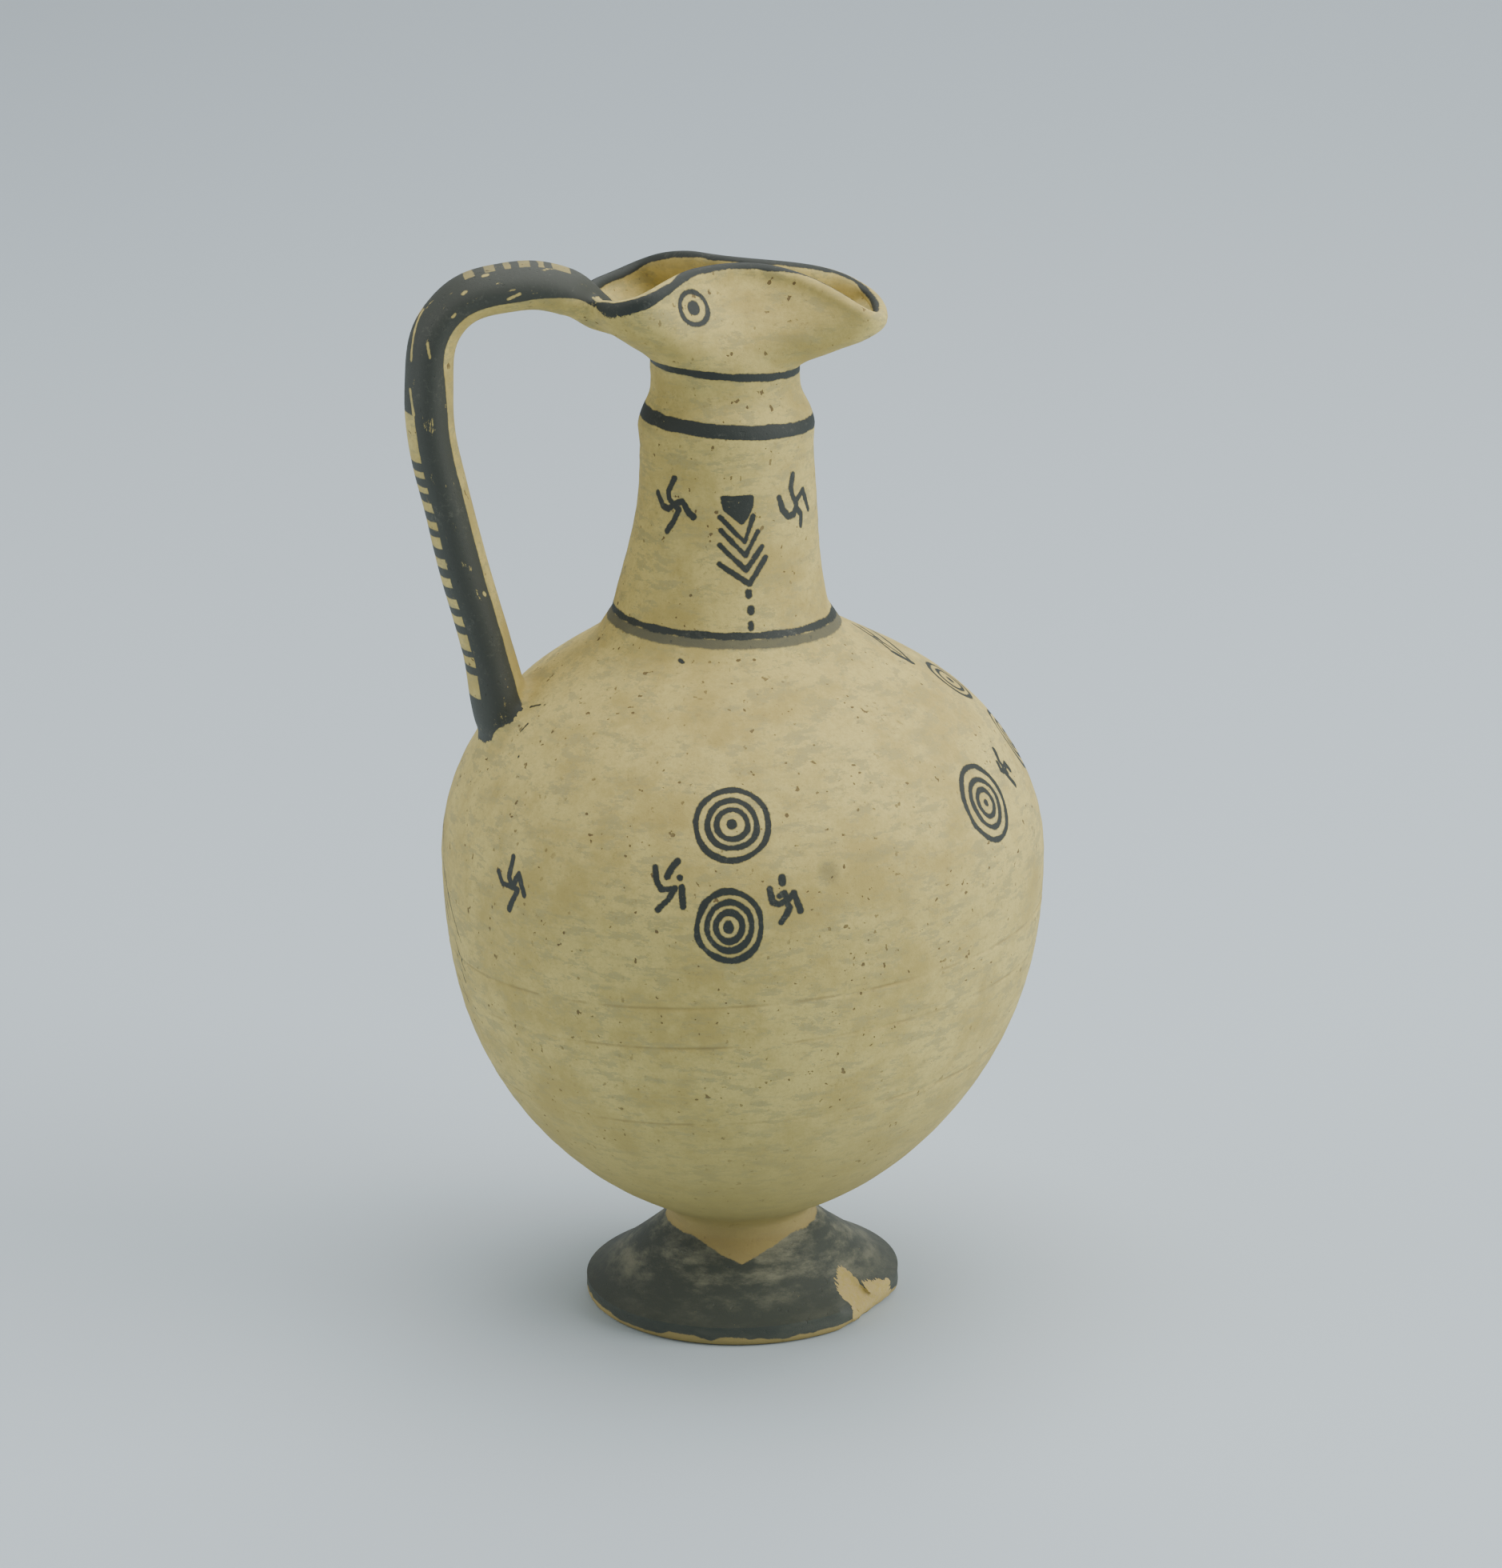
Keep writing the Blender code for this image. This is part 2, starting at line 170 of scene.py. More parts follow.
def outside_profile(fineness):
    """(radius, height) from the throat down the outer side to the centre of the underside."""
    points = [(throat_radius(height, 0.0), height)
              for height in spaced(THROAT_HEIGHT, RIDGE_HEIGHT, 14 * fineness)]
    points += [(jug_radius(height), height)
               for height in spaced(NECK_TOP_HEIGHT, NECK_FOOT_HEIGHT, 30 * fineness)]
    waist_top = WAIST_HEIGHT + FOOT_EDGE_ROUND
    first = math.acos((BELLY_HEIGHT - waist_top) / BODY_DEPTH_BELOW)
    heights = body_heights(first, 0.0, 120 * fineness)
    for line in LINE_HEIGHTS:
        heights += spaced(line - 2 * LINE_HALF_WIDTH, line + 2 * LINE_HALF_WIDTH, 5)
    points += [(jug_radius(height), height) for height in sorted(heights, reverse=True)]
    for share in spaced(1.0, 0.0, 22 * fineness):
        radius = lerp(FOOT_RADIUS, WAIST_RADIUS, share ** FOOT_HOLLOW)
        height = lerp(FOOT_RIM_HEIGHT, WAIST_HEIGHT, share)
        points.append((smooth_max(radius, WAIST_RADIUS, FOOT_EDGE_ROUND), height))
    for height in spaced(FOOT_RIM_HEIGHT, FOOT_EDGE_ROUND, 5)[1:-1]:
        points.append((FOOT_RADIUS, height))
    for angle in spaced(0.0, math.pi / 2, 6):
        points.append((FOOT_RADIUS - FOOT_EDGE_ROUND * (1.0 - math.cos(angle)),
                       FOOT_EDGE_ROUND * (1.0 - math.sin(angle))))
    points += [(radius, 0.0) for radius in spaced(FOOT_RADIUS * 0.9, 0.0, 6)]
    return points


def inside_profile(inset, fineness):
    """(radius, height) from the centre of the inner floor up to the throat."""
    heights = body_heights(0.0, inset, 40 * fineness)
    points = [(0.0, heights[0])]
    points += [(jug_radius(height, inset), height) for height in heights[1:]]
    points += [(jug_radius(height, inset), height)
               for height in spaced(NECK_FOOT_HEIGHT, NECK_TOP_HEIGHT, 10 * fineness)]
    points += [(throat_radius(height, inset), height)
               for height in spaced(RIDGE_HEIGHT, THROAT_HEIGHT, 5 * fineness)[:-1]]
    return points


def collar_profile():
    """(radius, height) up the inside of the thrown collar, over its lip and down outside."""
    middle = THROAT_RADIUS - MOUTH_WALL / 2
    half = MOUTH_WALL / 2
    top = LIP_HEIGHT - half
    points = [(middle - half, height) for height in spaced(THROAT_HEIGHT, top, 28)]
    for angle in spaced(math.pi, 0.0, 11)[1:-1]:
        points.append((middle + half * math.cos(angle), top + half * math.sin(angle)))
    points += [(middle + half, height) for height in spaced(top, THROAT_HEIGHT, 40)[:-1]]
    return points


def pinch(distance):
    """Share of its thrown width that the lip keeps, at a distance along the spout line."""
    length = PINCH_SPOUT_LENGTH if distance > PINCH_X else PINCH_BACK_LENGTH
    closed = (PINCH_GAP + MOUTH_WALL) / (MOUTH_BACK_REACH + MOUTH_SPOUT_REACH)
    return closed + (1.0 - closed) * ((distance - PINCH_X) / length) ** 2


def lip_point(angle):
    """Middle of the lip's wall at the top, from the neck's axis."""
    half_length = (MOUTH_SPOUT_REACH + MOUTH_BACK_REACH) / 2
    distance = (MOUTH_SPOUT_REACH - MOUTH_BACK_REACH) / 2 + half_length * math.cos(angle)
    blunt = math.copysign(abs(math.sin(angle)) ** LIP_BLUNTNESS, math.sin(angle))
    kept = pinch(distance)
    if distance < PINCH_X:
        kept = kept / (1.0 + (kept / BACK_OPENNESS) ** BACK_ROUNDNESS) ** (1 / BACK_ROUNDNESS)
    if distance < LIP_CREST_X:
        fall = LIP_BACK_FALL * ease((LIP_CREST_X - distance) / LIP_BACK_FALL_LENGTH)
    else:
        run = MOUTH_SPOUT_REACH - LIP_CREST_X
        fall = LIP_SPOUT_FALL * ((distance - LIP_CREST_X) / run) ** LIP_SPOUT_BEND
    return Vector((distance, half_length * blunt * kept, LIP_HEIGHT - MOUTH_WALL / 2 - fall))


def mouth_point(angle, rise):
    """Middle of the mouth's wall, rise running from 0 at the throat to 1 at the lip."""
    middle = THROAT_RADIUS - MOUTH_WALL / 2
    lip = lip_point(angle)
    flare = ease((rise - FLARE_START) / (1.0 - FLARE_START))
    fold = ease((rise - FOLD_START) / (1.0 - FOLD_START))
    cheek = CHEEK_FULLNESS * math.sin(angle) * math.sin(math.pi * ease(rise))
    return Vector((lerp(middle * math.cos(angle), lip.x, flare),
                   lerp(middle * math.sin(angle), lip.y, fold) + cheek,
                   lerp(THROAT_HEIGHT, lip.z, rise)))


def formed(point):
    """Where a point of the thrown jug lies once the neck leans and the mouth is pinched."""
    if point.z <= THROAT_HEIGHT:
        tilt = ease(point.z / FOOT_RIM_HEIGHT) * (1.0 - ease(point.z / WAIST_HEIGHT))
        return Vector((point.x + lean(point.z), point.y, point.z + point.x * FOOT_TILT * tilt))
    angle = math.atan2(point.y, point.x)
    offset = math.hypot(point.x, point.y) - (THROAT_RADIUS - MOUTH_WALL / 2)
    top = LIP_HEIGHT - MOUTH_WALL / 2
    rise = min(1.0, (point.z - THROAT_HEIGHT) / (top - THROAT_HEIGHT))
    step = 0.001
    upward = (mouth_point(angle, rise) - mouth_point(angle, rise - step)).normalized()
    around = (mouth_point(angle + step, rise) - mouth_point(angle - step, rise)).normalized()
    outward = around.cross(upward).normalized()
    place = mouth_point(angle, rise) + outward * offset
    place += upward * max(0.0, point.z - top)
    return place + Vector((lean(THROAT_HEIGHT), 0.0, 0.0))


def handmade(radius, height, angle):
    """A point of the outer wall with the potter's dents, ripples and scored lines."""
    if WAIST_HEIGHT < height < NECK_FOOT_HEIGHT:
        level = ease((height - WAIST_HEIGHT) / 0.03) * ease((NECK_FOOT_HEIGHT - height) / 0.03)
        height += LINE_TILT * radius * math.cos(angle) * level
        radius = jug_radius(height)
        height_on_wheel = height - LINE_TILT * radius * math.cos(angle) * level
    else:
        height_on_wheel = height
    place = Vector((radius * math.cos(angle), radius * math.sin(angle), height))
    settled = ease(radius / WAIST_RADIUS) * ease(height / FOOT_EDGE_ROUND)
    push = DENT * noise.noise(place / DENT_SIZE)
    sway = noise.noise(Vector((height_on_wheel / 0.011, math.cos(angle), math.sin(angle))))
    ripple = math.sin(math.tau * height_on_wheel / RIPPLE_STEP + 2.0 * sway)
    push += RIPPLE * ripple * (0.6 + sway)
    for line in LINE_HEIGHTS:
        away = (height_on_wheel - line) / LINE_HALF_WIDTH
        if abs(away) < 2.5:
            worn = 0.55 + 0.9 * noise.noise(Vector((place.x, place.y, line)) / 0.021)
            push -= LINE_DEPTH * math.exp(-away * away) * min(1.0, max(0.0, worn))
    radius += push * settled
    return Vector((radius * math.cos(angle), radius * math.sin(angle), height))


def close_mesh(name, rings, lengths, sides, collection):
    """A closed mesh from rings of points; its map gives the share round and the length along."""
    build = bmesh.new()
    surface = build.loops.layers.uv.new("surface")
    rows = []
    for ring in rings:
        rows.append([build.verts.new(point) for point in ring])
    for row in range(len(rows) - 1):
        first, second = rows[row], rows[row + 1]
        for side in range(sides):
            after = (side + 1) % sides
            corners = [(first[side % len(first)], side, row), (first[after % len(first)], side + 1, row),
                       (second[after % len(second)], side + 1, row + 1),
                       (second[side % len(second)], side, row + 1)]
            kept = [corner for place, corner in enumerate(corners)
                    if corner[0] not in [other[0] for other in corners[:place]]]
            face = build.faces.new([corner[0] for corner in kept])
            for loop, corner in zip(face.loops, kept):
                loop[surface].uv = (corner[1] / sides, lengths[corner[2]])
    bmesh.ops.recalc_face_normals(build, faces=build.faces)
    mesh = bpy.data.meshes.new(name)
    build.to_mesh(mesh)
    build.free()
    made = bpy.data.objects.new(name, mesh)
    collection.objects.link(made)
    return made


def thrown(name, profile, sides, collection, by_hand=False):
    """A profile turned round Z and formed; lengths run from the lip, positive down the outside."""
    highest = max(range(len(profile)), key=lambda place: profile[place][1])
    lengths = [0.0]
    for last, point in zip(profile, profile[1:]):
        lengths.append(lengths[-1] + math.dist(last, point))
    lengths = [length - lengths[highest] for length in lengths]
    rings = []
    for place, (radius, height) in enumerate(profile):
        if radius == 0.0:
            rings.append([formed(Vector((0.0, 0.0, height)))])
            continue
        ring = []
        for side in range(sides):
            angle = math.tau * side / sides
            point = Vector((radius * math.cos(angle), radius * math.sin(angle), height))
            if by_hand and place > highest:
                point = handmade(radius, height, angle)
            ring.append(formed(point))
        rings.append(ring)
    return close_mesh(name, rings, lengths, sides, collection)


workbench = bpy.data.collections.new("workbench")
bpy.context.scene.collection.children.link(workbench)
wall_profile = inside_profile(WALL, 1) + collar_profile() + outside_profile(1)
pitcher = thrown("pitcher_skin", wall_profile, SIDES, workbench, by_hand=True)
hollow = thrown("hollow", [(0.0, THROAT_HEIGHT)] + inside_profile(WALL / 2, 1)[::-1], 96, workbench)

# The break in the foot: two flakes are gone from the rim, right of the front, and meet at a step.
# The break shows the bare, rough inside of the clay. Next to it the rim is worn back a little.

NEAR_FLAKE = dict(turn=-38.0, heading=-30.0, width=0.0088, length=0.0180, depth=0.0027)
FAR_FLAKE = dict(turn=-26.5, heading=-32.0, width=0.0092, length=0.0105, depth=0.0009)
RIM_LOSS = 0.0015
RIM_LOSS_TURN = -30.0
BREAK_ROUGHNESS = 0.00028
BREAK_CUTS = 14
BREAK_SEED = 5
noise.seed_set(BREAK_SEED)


def carve(target, tool, operation):
    """Applies a Boolean of closed meshes and removes the tool."""
    modifier = target.modifiers.new(tool.name, "BOOLEAN")
    modifier.operation = operation
    modifier.solver = "MANIFOLD"
    modifier.object = tool
    graph = bpy.context.evaluated_depsgraph_get()
    mesh = bpy.data.meshes.new_from_object(target.evaluated_get(graph))
    target.modifiers.clear()
    target.data = mesh
    bpy.data.objects.remove(tool)


CLAY, STRAP, BREAK = 0, 1, 2
painted_clay = bpy.data.materials.new("painted_clay")
painted_strap = bpy.data.materials.new("painted_strap")
broken_clay = bpy.data.materials.new("broken_clay")


def finish_with(piece, kind):
    for material in (painted_clay, painted_strap, broken_clay):
        piece.data.materials.append(material)
    for face in piece.data.polygons:
        face.material_index = kind


def rough_block(name, transform):
    """A block with uneven faces; what it takes away leaves a broken surface."""
    build = bmesh.new()
    bmesh.ops.create_cube(build, size=1.0)
    bmesh.ops.subdivide_edges(build, edges=build.edges, cuts=BREAK_CUTS, use_grid_fill=True)
    bmesh.ops.transform(build, matrix=transform, verts=build.verts)
    bmesh.ops.recalc_face_normals(build, faces=build.faces)
    for vertex in build.verts:
        coarse = noise.noise_vector(vertex.co / 0.0047)
        fine = noise.noise_vector(vertex.co / 0.0013)
        vertex.co += BREAK_ROUGHNESS * (coarse + 0.5 * fine)
    build.loops.layers.uv.new("surface")
    mesh = bpy.data.meshes.new(name)
    build.to_mesh(mesh)
    build.free()
    block = bpy.data.objects.new(name, mesh)
    workbench.objects.link(block)
    finish_with(block, BREAK)
    return block


def flake(name, turn, heading, width, length, depth):
    thickness = FOOT_RADIUS / 2
    slope = math.atan2(WAIST_HEIGHT - FOOT_RIM_HEIGHT, FOOT_RADIUS - WAIST_RADIUS)
    size = Matrix.Diagonal((length * 2.0, width, thickness, 1.0))
    up = Matrix.Translation((0.0, 0.0, thickness / 2 - depth))
    tilt = Matrix.Rotation(slope + math.atan2(depth, length), 4, "Y")
    angle = math.radians(turn)
    rim = Vector((FOOT_RADIUS * math.cos(angle), FOOT_RADIUS * math.sin(angle), FOOT_RIM_HEIGHT))
    facing = Matrix.Rotation(math.radians(heading), 4, "Z")
    return rough_block(name, Matrix.Translation(rim) @ facing @ tilt @ up @ size)


def worn_chord():
    out = Matrix.Translation((FOOT_RADIUS * 1.5 - RIM_LOSS, 0.0, FOOT_RIM_HEIGHT))
    size = Matrix.Diagonal((FOOT_RADIUS, FOOT_RADIUS * 2, WAIST_HEIGHT, 1.0))
    return rough_block("worn_chord", Matrix.Rotation(math.radians(RIM_LOSS_TURN), 4, "Z") @ out @ size)


finish_with(pitcher, CLAY)
carve(pitcher, flake("near_flake", **NEAR_FLAKE), "DIFFERENCE")
carve(pitcher, flake("far_flake", **FAR_FLAKE), "DIFFERENCE")
carve(pitcher, worn_chord(), "DIFFERENCE")

# The handle: a strap of the same clay, pulled by hand to an oval section and pressed on while wet.
# It leaves the back of the lip level, bends down in a bow and is smeared onto the shoulder.
# It sits a little off the line of the spout.

HANDLE_WIDTH = 0.0230
HANDLE_THICKNESS = 0.0134
HANDLE_TURN = math.radians(8.0)
HANDLE_TOP_REACH = 0.0583
HANDLE_TOP_HEIGHT = 0.2952
HANDLE_REACH = 0.0810
HANDLE_REACH_HEIGHT = 0.2670
HANDLE_ROOT_HEIGHT = 0.1760
HANDLE_ROOT_SPREAD = 1.25
HANDLE_ROOT_SINK = 0.0160
STRAP_SIDES = 56
STRAP_STEPS = 14
STRAP_DENT = 0.00030
STRAP_DENT_SIZE = 0.016
JOINT_BLEND = 0.0060
JOINT_PASSES = 30


def handle_points():
    """Centre line in the handle's own plane: (distance from the neck's axis, height, spread)."""
    lip = mouth_point(math.pi, 1.0)
    root_reach = jug_radius(HANDLE_ROOT_HEIGHT) - lean(HANDLE_ROOT_HEIGHT)

    def bow(out, up, spread):
        return (lerp(HANDLE_TOP_REACH, HANDLE_REACH, out),
                lerp(HANDLE_REACH_HEIGHT, HANDLE_TOP_HEIGHT, up), spread)

    def shank(inward, down, spread):
        return (lerp(HANDLE_REACH, root_reach, inward),
                lerp(HANDLE_REACH_HEIGHT, HANDLE_ROOT_HEIGHT, down), spread)

    def on_wall(rise, spread):
        place = mouth_point(math.pi, rise)
        return (-place.x, place.z, spread)

    return [
        on_wall(0.56, 0.25),
        on_wall(0.85, 0.74),
        (lerp(-lip.x, HANDLE_TOP_REACH, 0.3), lerp(lip.z, HANDLE_TOP_HEIGHT, 0.55), 0.93),
        (HANDLE_TOP_REACH, HANDLE_TOP_HEIGHT, 0.96),
        bow(0.75, 0.76, 0.93),
        (HANDLE_REACH, HANDLE_REACH_HEIGHT, 0.98),
        shank(0.30, 0.40, 1.0),
        shank(0.81, 0.80, 1.03),
        shank(1.04, 1.00, HANDLE_ROOT_SPREAD),
        (root_reach - HANDLE_THICKNESS / 2, HANDLE_ROOT_HEIGHT - HANDLE_ROOT_SINK, HANDLE_ROOT_SPREAD),
    ]


def strap_line():
    """The handle's centre line as close points, each with its spread."""
    curve = bpy.data.curves.new("strap_line", "CURVE")
    curve.dimensions = "3D"
    spline = curve.splines.new("BEZIER")
    points = handle_points()
    spline.bezier_points.add(len(points) - 1)
    for knot, (reach, height, spread) in zip(spline.bezier_points, points):
        knot.co = (-reach, 0.0, height)
        knot.handle_left_type = "AUTO"
        knot.handle_right_type = "AUTO"
    guide = bpy.data.objects.new("strap_line", curve)
    workbench.objects.link(guide)
    bpy.context.view_layer.update()
    line = []
    knots = spline.bezier_points
    for place in range(len(points) - 1):
        steps = geometry.interpolate_bezier(knots[place].co, knots[place].handle_right,
                                            knots[place + 1].handle_left, knots[place + 1].co,
                                            STRAP_STEPS + 1)
        for step, point in enumerate(steps[:-1]):
            line.append((point.copy(), lerp(points[place][2], points[place + 1][2], step / STRAP_STEPS)))
    line.append((knots[-1].co.copy(), points[-1][2]))
    bpy.data.objects.remove(guide)
    return line


def pull_strap():
    """The strap as a closed mesh. Round it, the map runs from the middle of the outer face."""
    line = strap_line()
    settle = Matrix.Translation((lean(THROAT_HEIGHT), 0.0, 0.0)) @ Matrix.Rotation(HANDLE_TURN, 4, "Z")
    rings = [[settle @ line[0][0]]]
    lengths = [0.0]
    length = 0.0
    for place, (centre, spread) in enumerate(line):
        before = line[max(0, place - 1)][0]
        after = line[min(len(line) - 1, place + 1)][0]
        along = (after - before).normalized()
        outer = Vector((0.0, 1.0, 0.0)).cross(along)
        length += (centre - before).length
        ring = []
        for side in range(STRAP_SIDES):
            angle = math.tau * side / STRAP_SIDES
            thick = HANDLE_THICKNESS / 2 * spread * math.cos(angle)
            wide = HANDLE_WIDTH / 2 * spread * math.sin(angle)
            point = centre + outer * thick + Vector((0.0, wide, 0.0))
            dent = STRAP_DENT * noise.noise(point / STRAP_DENT_SIZE)
            point += (point - centre).normalized() * dent
            ring.append(settle @ point)
        rings.append(ring)
        lengths.append(length)
    rings.append([settle @ line[-1][0]])
    lengths.append(length)
    return close_mesh("strap", rings, lengths, STRAP_SIDES, workbench)


def smear_joints(piece):
    """Rounds the corner where the strap meets the jug, as a wet finger does."""
    build = bmesh.new()
    build.from_mesh(piece.data)
    seam = [vertex for vertex in build.verts
            if len({face.material_index for face in vertex.link_faces}) > 1]
    tree = kdtree.KDTree(len(seam))
    for place, vertex in enumerate(seam):
        tree.insert(vertex.co, place)
    tree.balance()
    share = {}
    for vertex in build.verts:
        distance = tree.find(vertex.co)[2]
        if distance < JOINT_BLEND:
            share[vertex] = ease(1.0 - distance / JOINT_BLEND)
    for _ in range(JOINT_PASSES):
        moved = {}
        for vertex, part in share.items():
            near = [edge.other_vert(vertex).co for edge in vertex.link_edges]
            middle = sum(near, Vector()) / len(near)
            moved[vertex] = vertex.co.lerp(middle, 0.5 * part)
        for vertex, place in moved.items():
            vertex.co = place
    build.to_mesh(piece.data)
    build.free()


strap = pull_strap()
finish_with(hollow, CLAY)
finish_with(strap, STRAP)
carve(strap, hollow, "DIFFERENCE")
for face in strap.data.polygons:
    face.material_index = STRAP
carve(pitcher, strap, "UNION")
smear_joints(pitcher)
pitcher.data.shade_smooth()
pitcher.data.set_sharp_from_angle(angle=math.radians(48.0))
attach(pitcher, "root")
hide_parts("pitcher")

# The clay: fine buff clay under a thin cream slip that was brushed on while the jug turned.
# It is mottled grey and tan, with level brush streaks, brown specks, pin holes and old dirt.

CREAM = (0.660, 0.540, 0.180)
BUFF = (0.475, 0.370, 0.112)
GREY = (0.345, 0.310, 0.145)
GRIT = (0.290, 0.215, 0.085)
SPECK = (0.115, 0.072, 0.030)
BARE = (0.500, 0.380, 0.175)
# The next two colours are painted shade, for the stem and the low body.
STEM_SHADE = (0.340, 0.260, 0.100)
LOW_BODY_SHADE = (0.385, 0.305, 0.105)
MILLIMETRES = 1000.0


class Recipe:
    """Writes the nodes of one material. Each call adds a node and gives back its output."""

    def __init__(self, material):
        material.use_nodes = True
        self.tree = material.node_tree
        self.shader = self.tree.nodes["Principled BSDF"]
        place = self.add("ShaderNodeTexCoord").outputs["Object"]
        self.place = self.vec("SCALE", place, scale=MILLIMETRES)

    def add(self, kind, **settings):
        node = self.tree.nodes.new(kind)
        for name, value in settings.items():
            setattr(node, name, value)
        return node

    def feed(self, socket, value):
        if isinstance(value, bpy.types.NodeSocket):
            self.tree.links.new(value, socket)
        elif hasattr(socket.default_value, "__len__") and not hasattr(value, "__len__"):
            socket.default_value = (value,) * len(socket.default_value)
        else:
            socket.default_value = value

    def num(self, operation, *values, clamp=False):
        node = self.add("ShaderNodeMath", operation=operation, use_clamp=clamp)
        for socket, value in zip(node.inputs, values):
            self.feed(socket, value)
        return node.outputs[0]

    def vec(self, operation, *values, scale=None):
        node = self.add("ShaderNodeVectorMath", operation=operation)
        for socket, value in zip(node.inputs, values):
            self.feed(socket, value)
        if scale is not None:
            self.feed(node.inputs["Scale"], scale)
        single = operation in ("DOT_PRODUCT", "DISTANCE", "LENGTH")
        return node.outputs["Value" if single else "Vector"]

    def step(self, value, low, high, first=0.0, last=1.0):
        """A soft step: first below low, last above high."""
        node = self.add("ShaderNodeMapRange", interpolation_type="SMOOTHSTEP")
        for socket, number in zip(node.inputs, (value, low, high, first, last)):
            self.feed(socket, number)
        return node.outputs[0]

    def cloud(self, size, detail=2.0, rough=0.5, place=None, stretch=None, seed=0.0):
        """Noise with features of a size in millimetres, about 0.5 in the middle."""
        place = self.place if place is None else place
        if stretch is not None:
            place = self.vec("MULTIPLY", place, stretch)
        node = self.add("ShaderNodeTexNoise", noise_dimensions="4D")
        self.feed(node.inputs["Vector"], place)
        node.inputs["W"].default_value = seed
        node.inputs["Scale"].default_value = 1.0 / size
        node.inputs["Detail"].default_value = detail
        node.inputs["Roughness"].default_value = rough
        return node.outputs["Fac"]

    def blend(self, share, first, second):
        """A colour between two, by share."""
        node = self.add("ShaderNodeMix", data_type="RGBA")
        self.feed(node.inputs["Factor"], share)
        self.feed(node.inputs[6], first if isinstance(first, bpy.types.NodeSocket) else (*first, 1.0))
        self.feed(node.inputs[7], second if isinstance(second, bpy.types.NodeSocket) else (*second, 1.0))
        return node.outputs[2]


def clay_colour(mix, streaks):
    """Cream slip over buff clay, in mottled patches, with grit, specks and pin holes."""
    patches = mix.step(mix.cloud(22.0, detail=7.0, rough=0.70), 0.36, 0.60)
    colour = mix.blend(patches, BUFF, CREAM)
    thin = mix.step(streaks, 0.53, 0.66)
    colour = mix.blend(mix.num("MULTIPLY", thin, 0.42), colour, GREY)
    blotches = mix.cloud(8.0, detail=8.0, rough=0.76, stretch=(1.0, 1.0, 2.8), seed=15.0)
    strength = mix.step(patches, 0.1, 0.8, first=0.30, last=0.60)
    blotches = mix.num("MULTIPLY", mix.step(blotches, 0.52, 0.55), strength)
    colour = mix.blend(blotches, colour, GREY)
    fine = mix.step(mix.cloud(1.1, detail=4.0, rough=0.8, seed=4.0), 0.42, 0.64)
    colour = mix.blend(mix.num("MULTIPLY", fine, 0.40), colour, BUFF)
    grit = mix.step(mix.cloud(1.5, detail=4.0, rough=0.85, seed=8.0), 0.55, 0.68)
    colour = mix.blend(mix.num("MULTIPLY", grit, 0.50), colour, GRIT)
    specks = mix.step(mix.cloud(1.9, detail=1.5, rough=0.6, seed=9.0), 0.665, 0.705)
    dusty = mix.step(mix.cloud(17.0, detail=2.0, seed=2.0), 0.38, 0.58, first=0.15, last=1.0)
    specks = mix.num("MULTIPLY", specks, dusty)
    return mix.blend(mix.num("MULTIPLY", specks, 0.85), colour, SPECK), specks


def clay_bump(mix, streaks, specks):
    """Grain, brush marks and pin holes of the fired surface."""
    grain = mix.cloud(0.75, detail=4.0, rough=0.7, seed=1.0)
    height = mix.num("MULTIPLY_ADD", streaks, 0.6, grain)
    height = mix.num("MULTIPLY_ADD", specks, -1.2, height)
    node = mix.add("ShaderNodeBump")
    node.inputs["Strength"].default_value = 0.7
    node.inputs["Distance"].default_value = 0.00016
    mix.feed(node.inputs["Height"], height)
    return node.outputs["Normal"]


# The paint: matt black slip put on with a soft brush, so that its edges waver and its strokes
# thin out where the brush ran dry. Bands were put on while the jug turned, rings with a compass of
# several brushes. It is worn grey in places and flaked to the clay on edges.

BLACK = (0.027, 0.033, 0.026)
FADED = (0.125, 0.128, 0.096)
SMUDGE = (0.250, 0.245, 0.165)
FOOT_BLACK = (0.055, 0.064, 0.050)
WASH = (0.088, 0.092, 0.066)
EDGE_WAVER = 0.50
EDGE_FRAY = 0.32
BRUSH = 1.90



def ragged_edge(mix):
    """How far a painted edge strays in millimetres, from a slow waver and a fine fray."""
    waver = mix.num("SUBTRACT", mix.cloud(5.5, detail=1.0, seed=6.0), 0.5)
    fray = mix.num("SUBTRACT", mix.cloud(0.8, detail=2.0, rough=0.7, seed=7.0), 0.5)
    waver = mix.num("MULTIPLY", waver, 2 * EDGE_WAVER)
    return mix.num("ADD", waver, mix.num("MULTIPLY", fray, 2 * EDGE_FRAY))


def surface_map(mix):
    """The share round a piece and the length along it in millimetres, from its own map."""
    node = mix.add("ShaderNodeUVMap", uv_map="surface")
    halves = mix.add("ShaderNodeSeparateXYZ")
    mix.feed(halves.inputs[0], node.outputs[0])
    return halves.outputs[0], mix.num("MULTIPLY", halves.outputs[1], MILLIMETRES)


skin = Recipe(painted_clay)
level = skin.vec("MULTIPLY", skin.place, (1.0, 1.0, 4.5))
streaks = skin.cloud(15.0, detail=6.0, rough=0.66, place=level, seed=3.0)
bare_colour, specks = clay_colour(skin, streaks)
edge = ragged_edge(skin)

split = skin.add("ShaderNodeSeparateXYZ")
skin.feed(split.inputs[0], skin.place)
across_x, across_y, up_z = split.outputs
near_y = skin.num("MULTIPLY", skin.num("ABSOLUTE", across_y), -1.0)
far_side = skin.num("GREATER_THAN", across_y, 0.0)
fold = skin.add("ShaderNodeCombineXYZ")
for socket, value in zip(fold.inputs, (across_x, near_y, up_z)):
    skin.feed(socket, value)
mirrored = fold.outputs[0]
lip_distance = surface_map(skin)[1]


def on_jug(turn, height):
    """A place on the outer wall in millimetres, from degrees round from the spout and a height."""
    radius = jug_radius(height / MILLIMETRES) * MILLIMETRES
    angle = math.radians(turn)
    return Vector((lean(height / MILLIMETRES) * MILLIMETRES + radius * math.cos(angle),
                   radius * math.sin(angle), height))


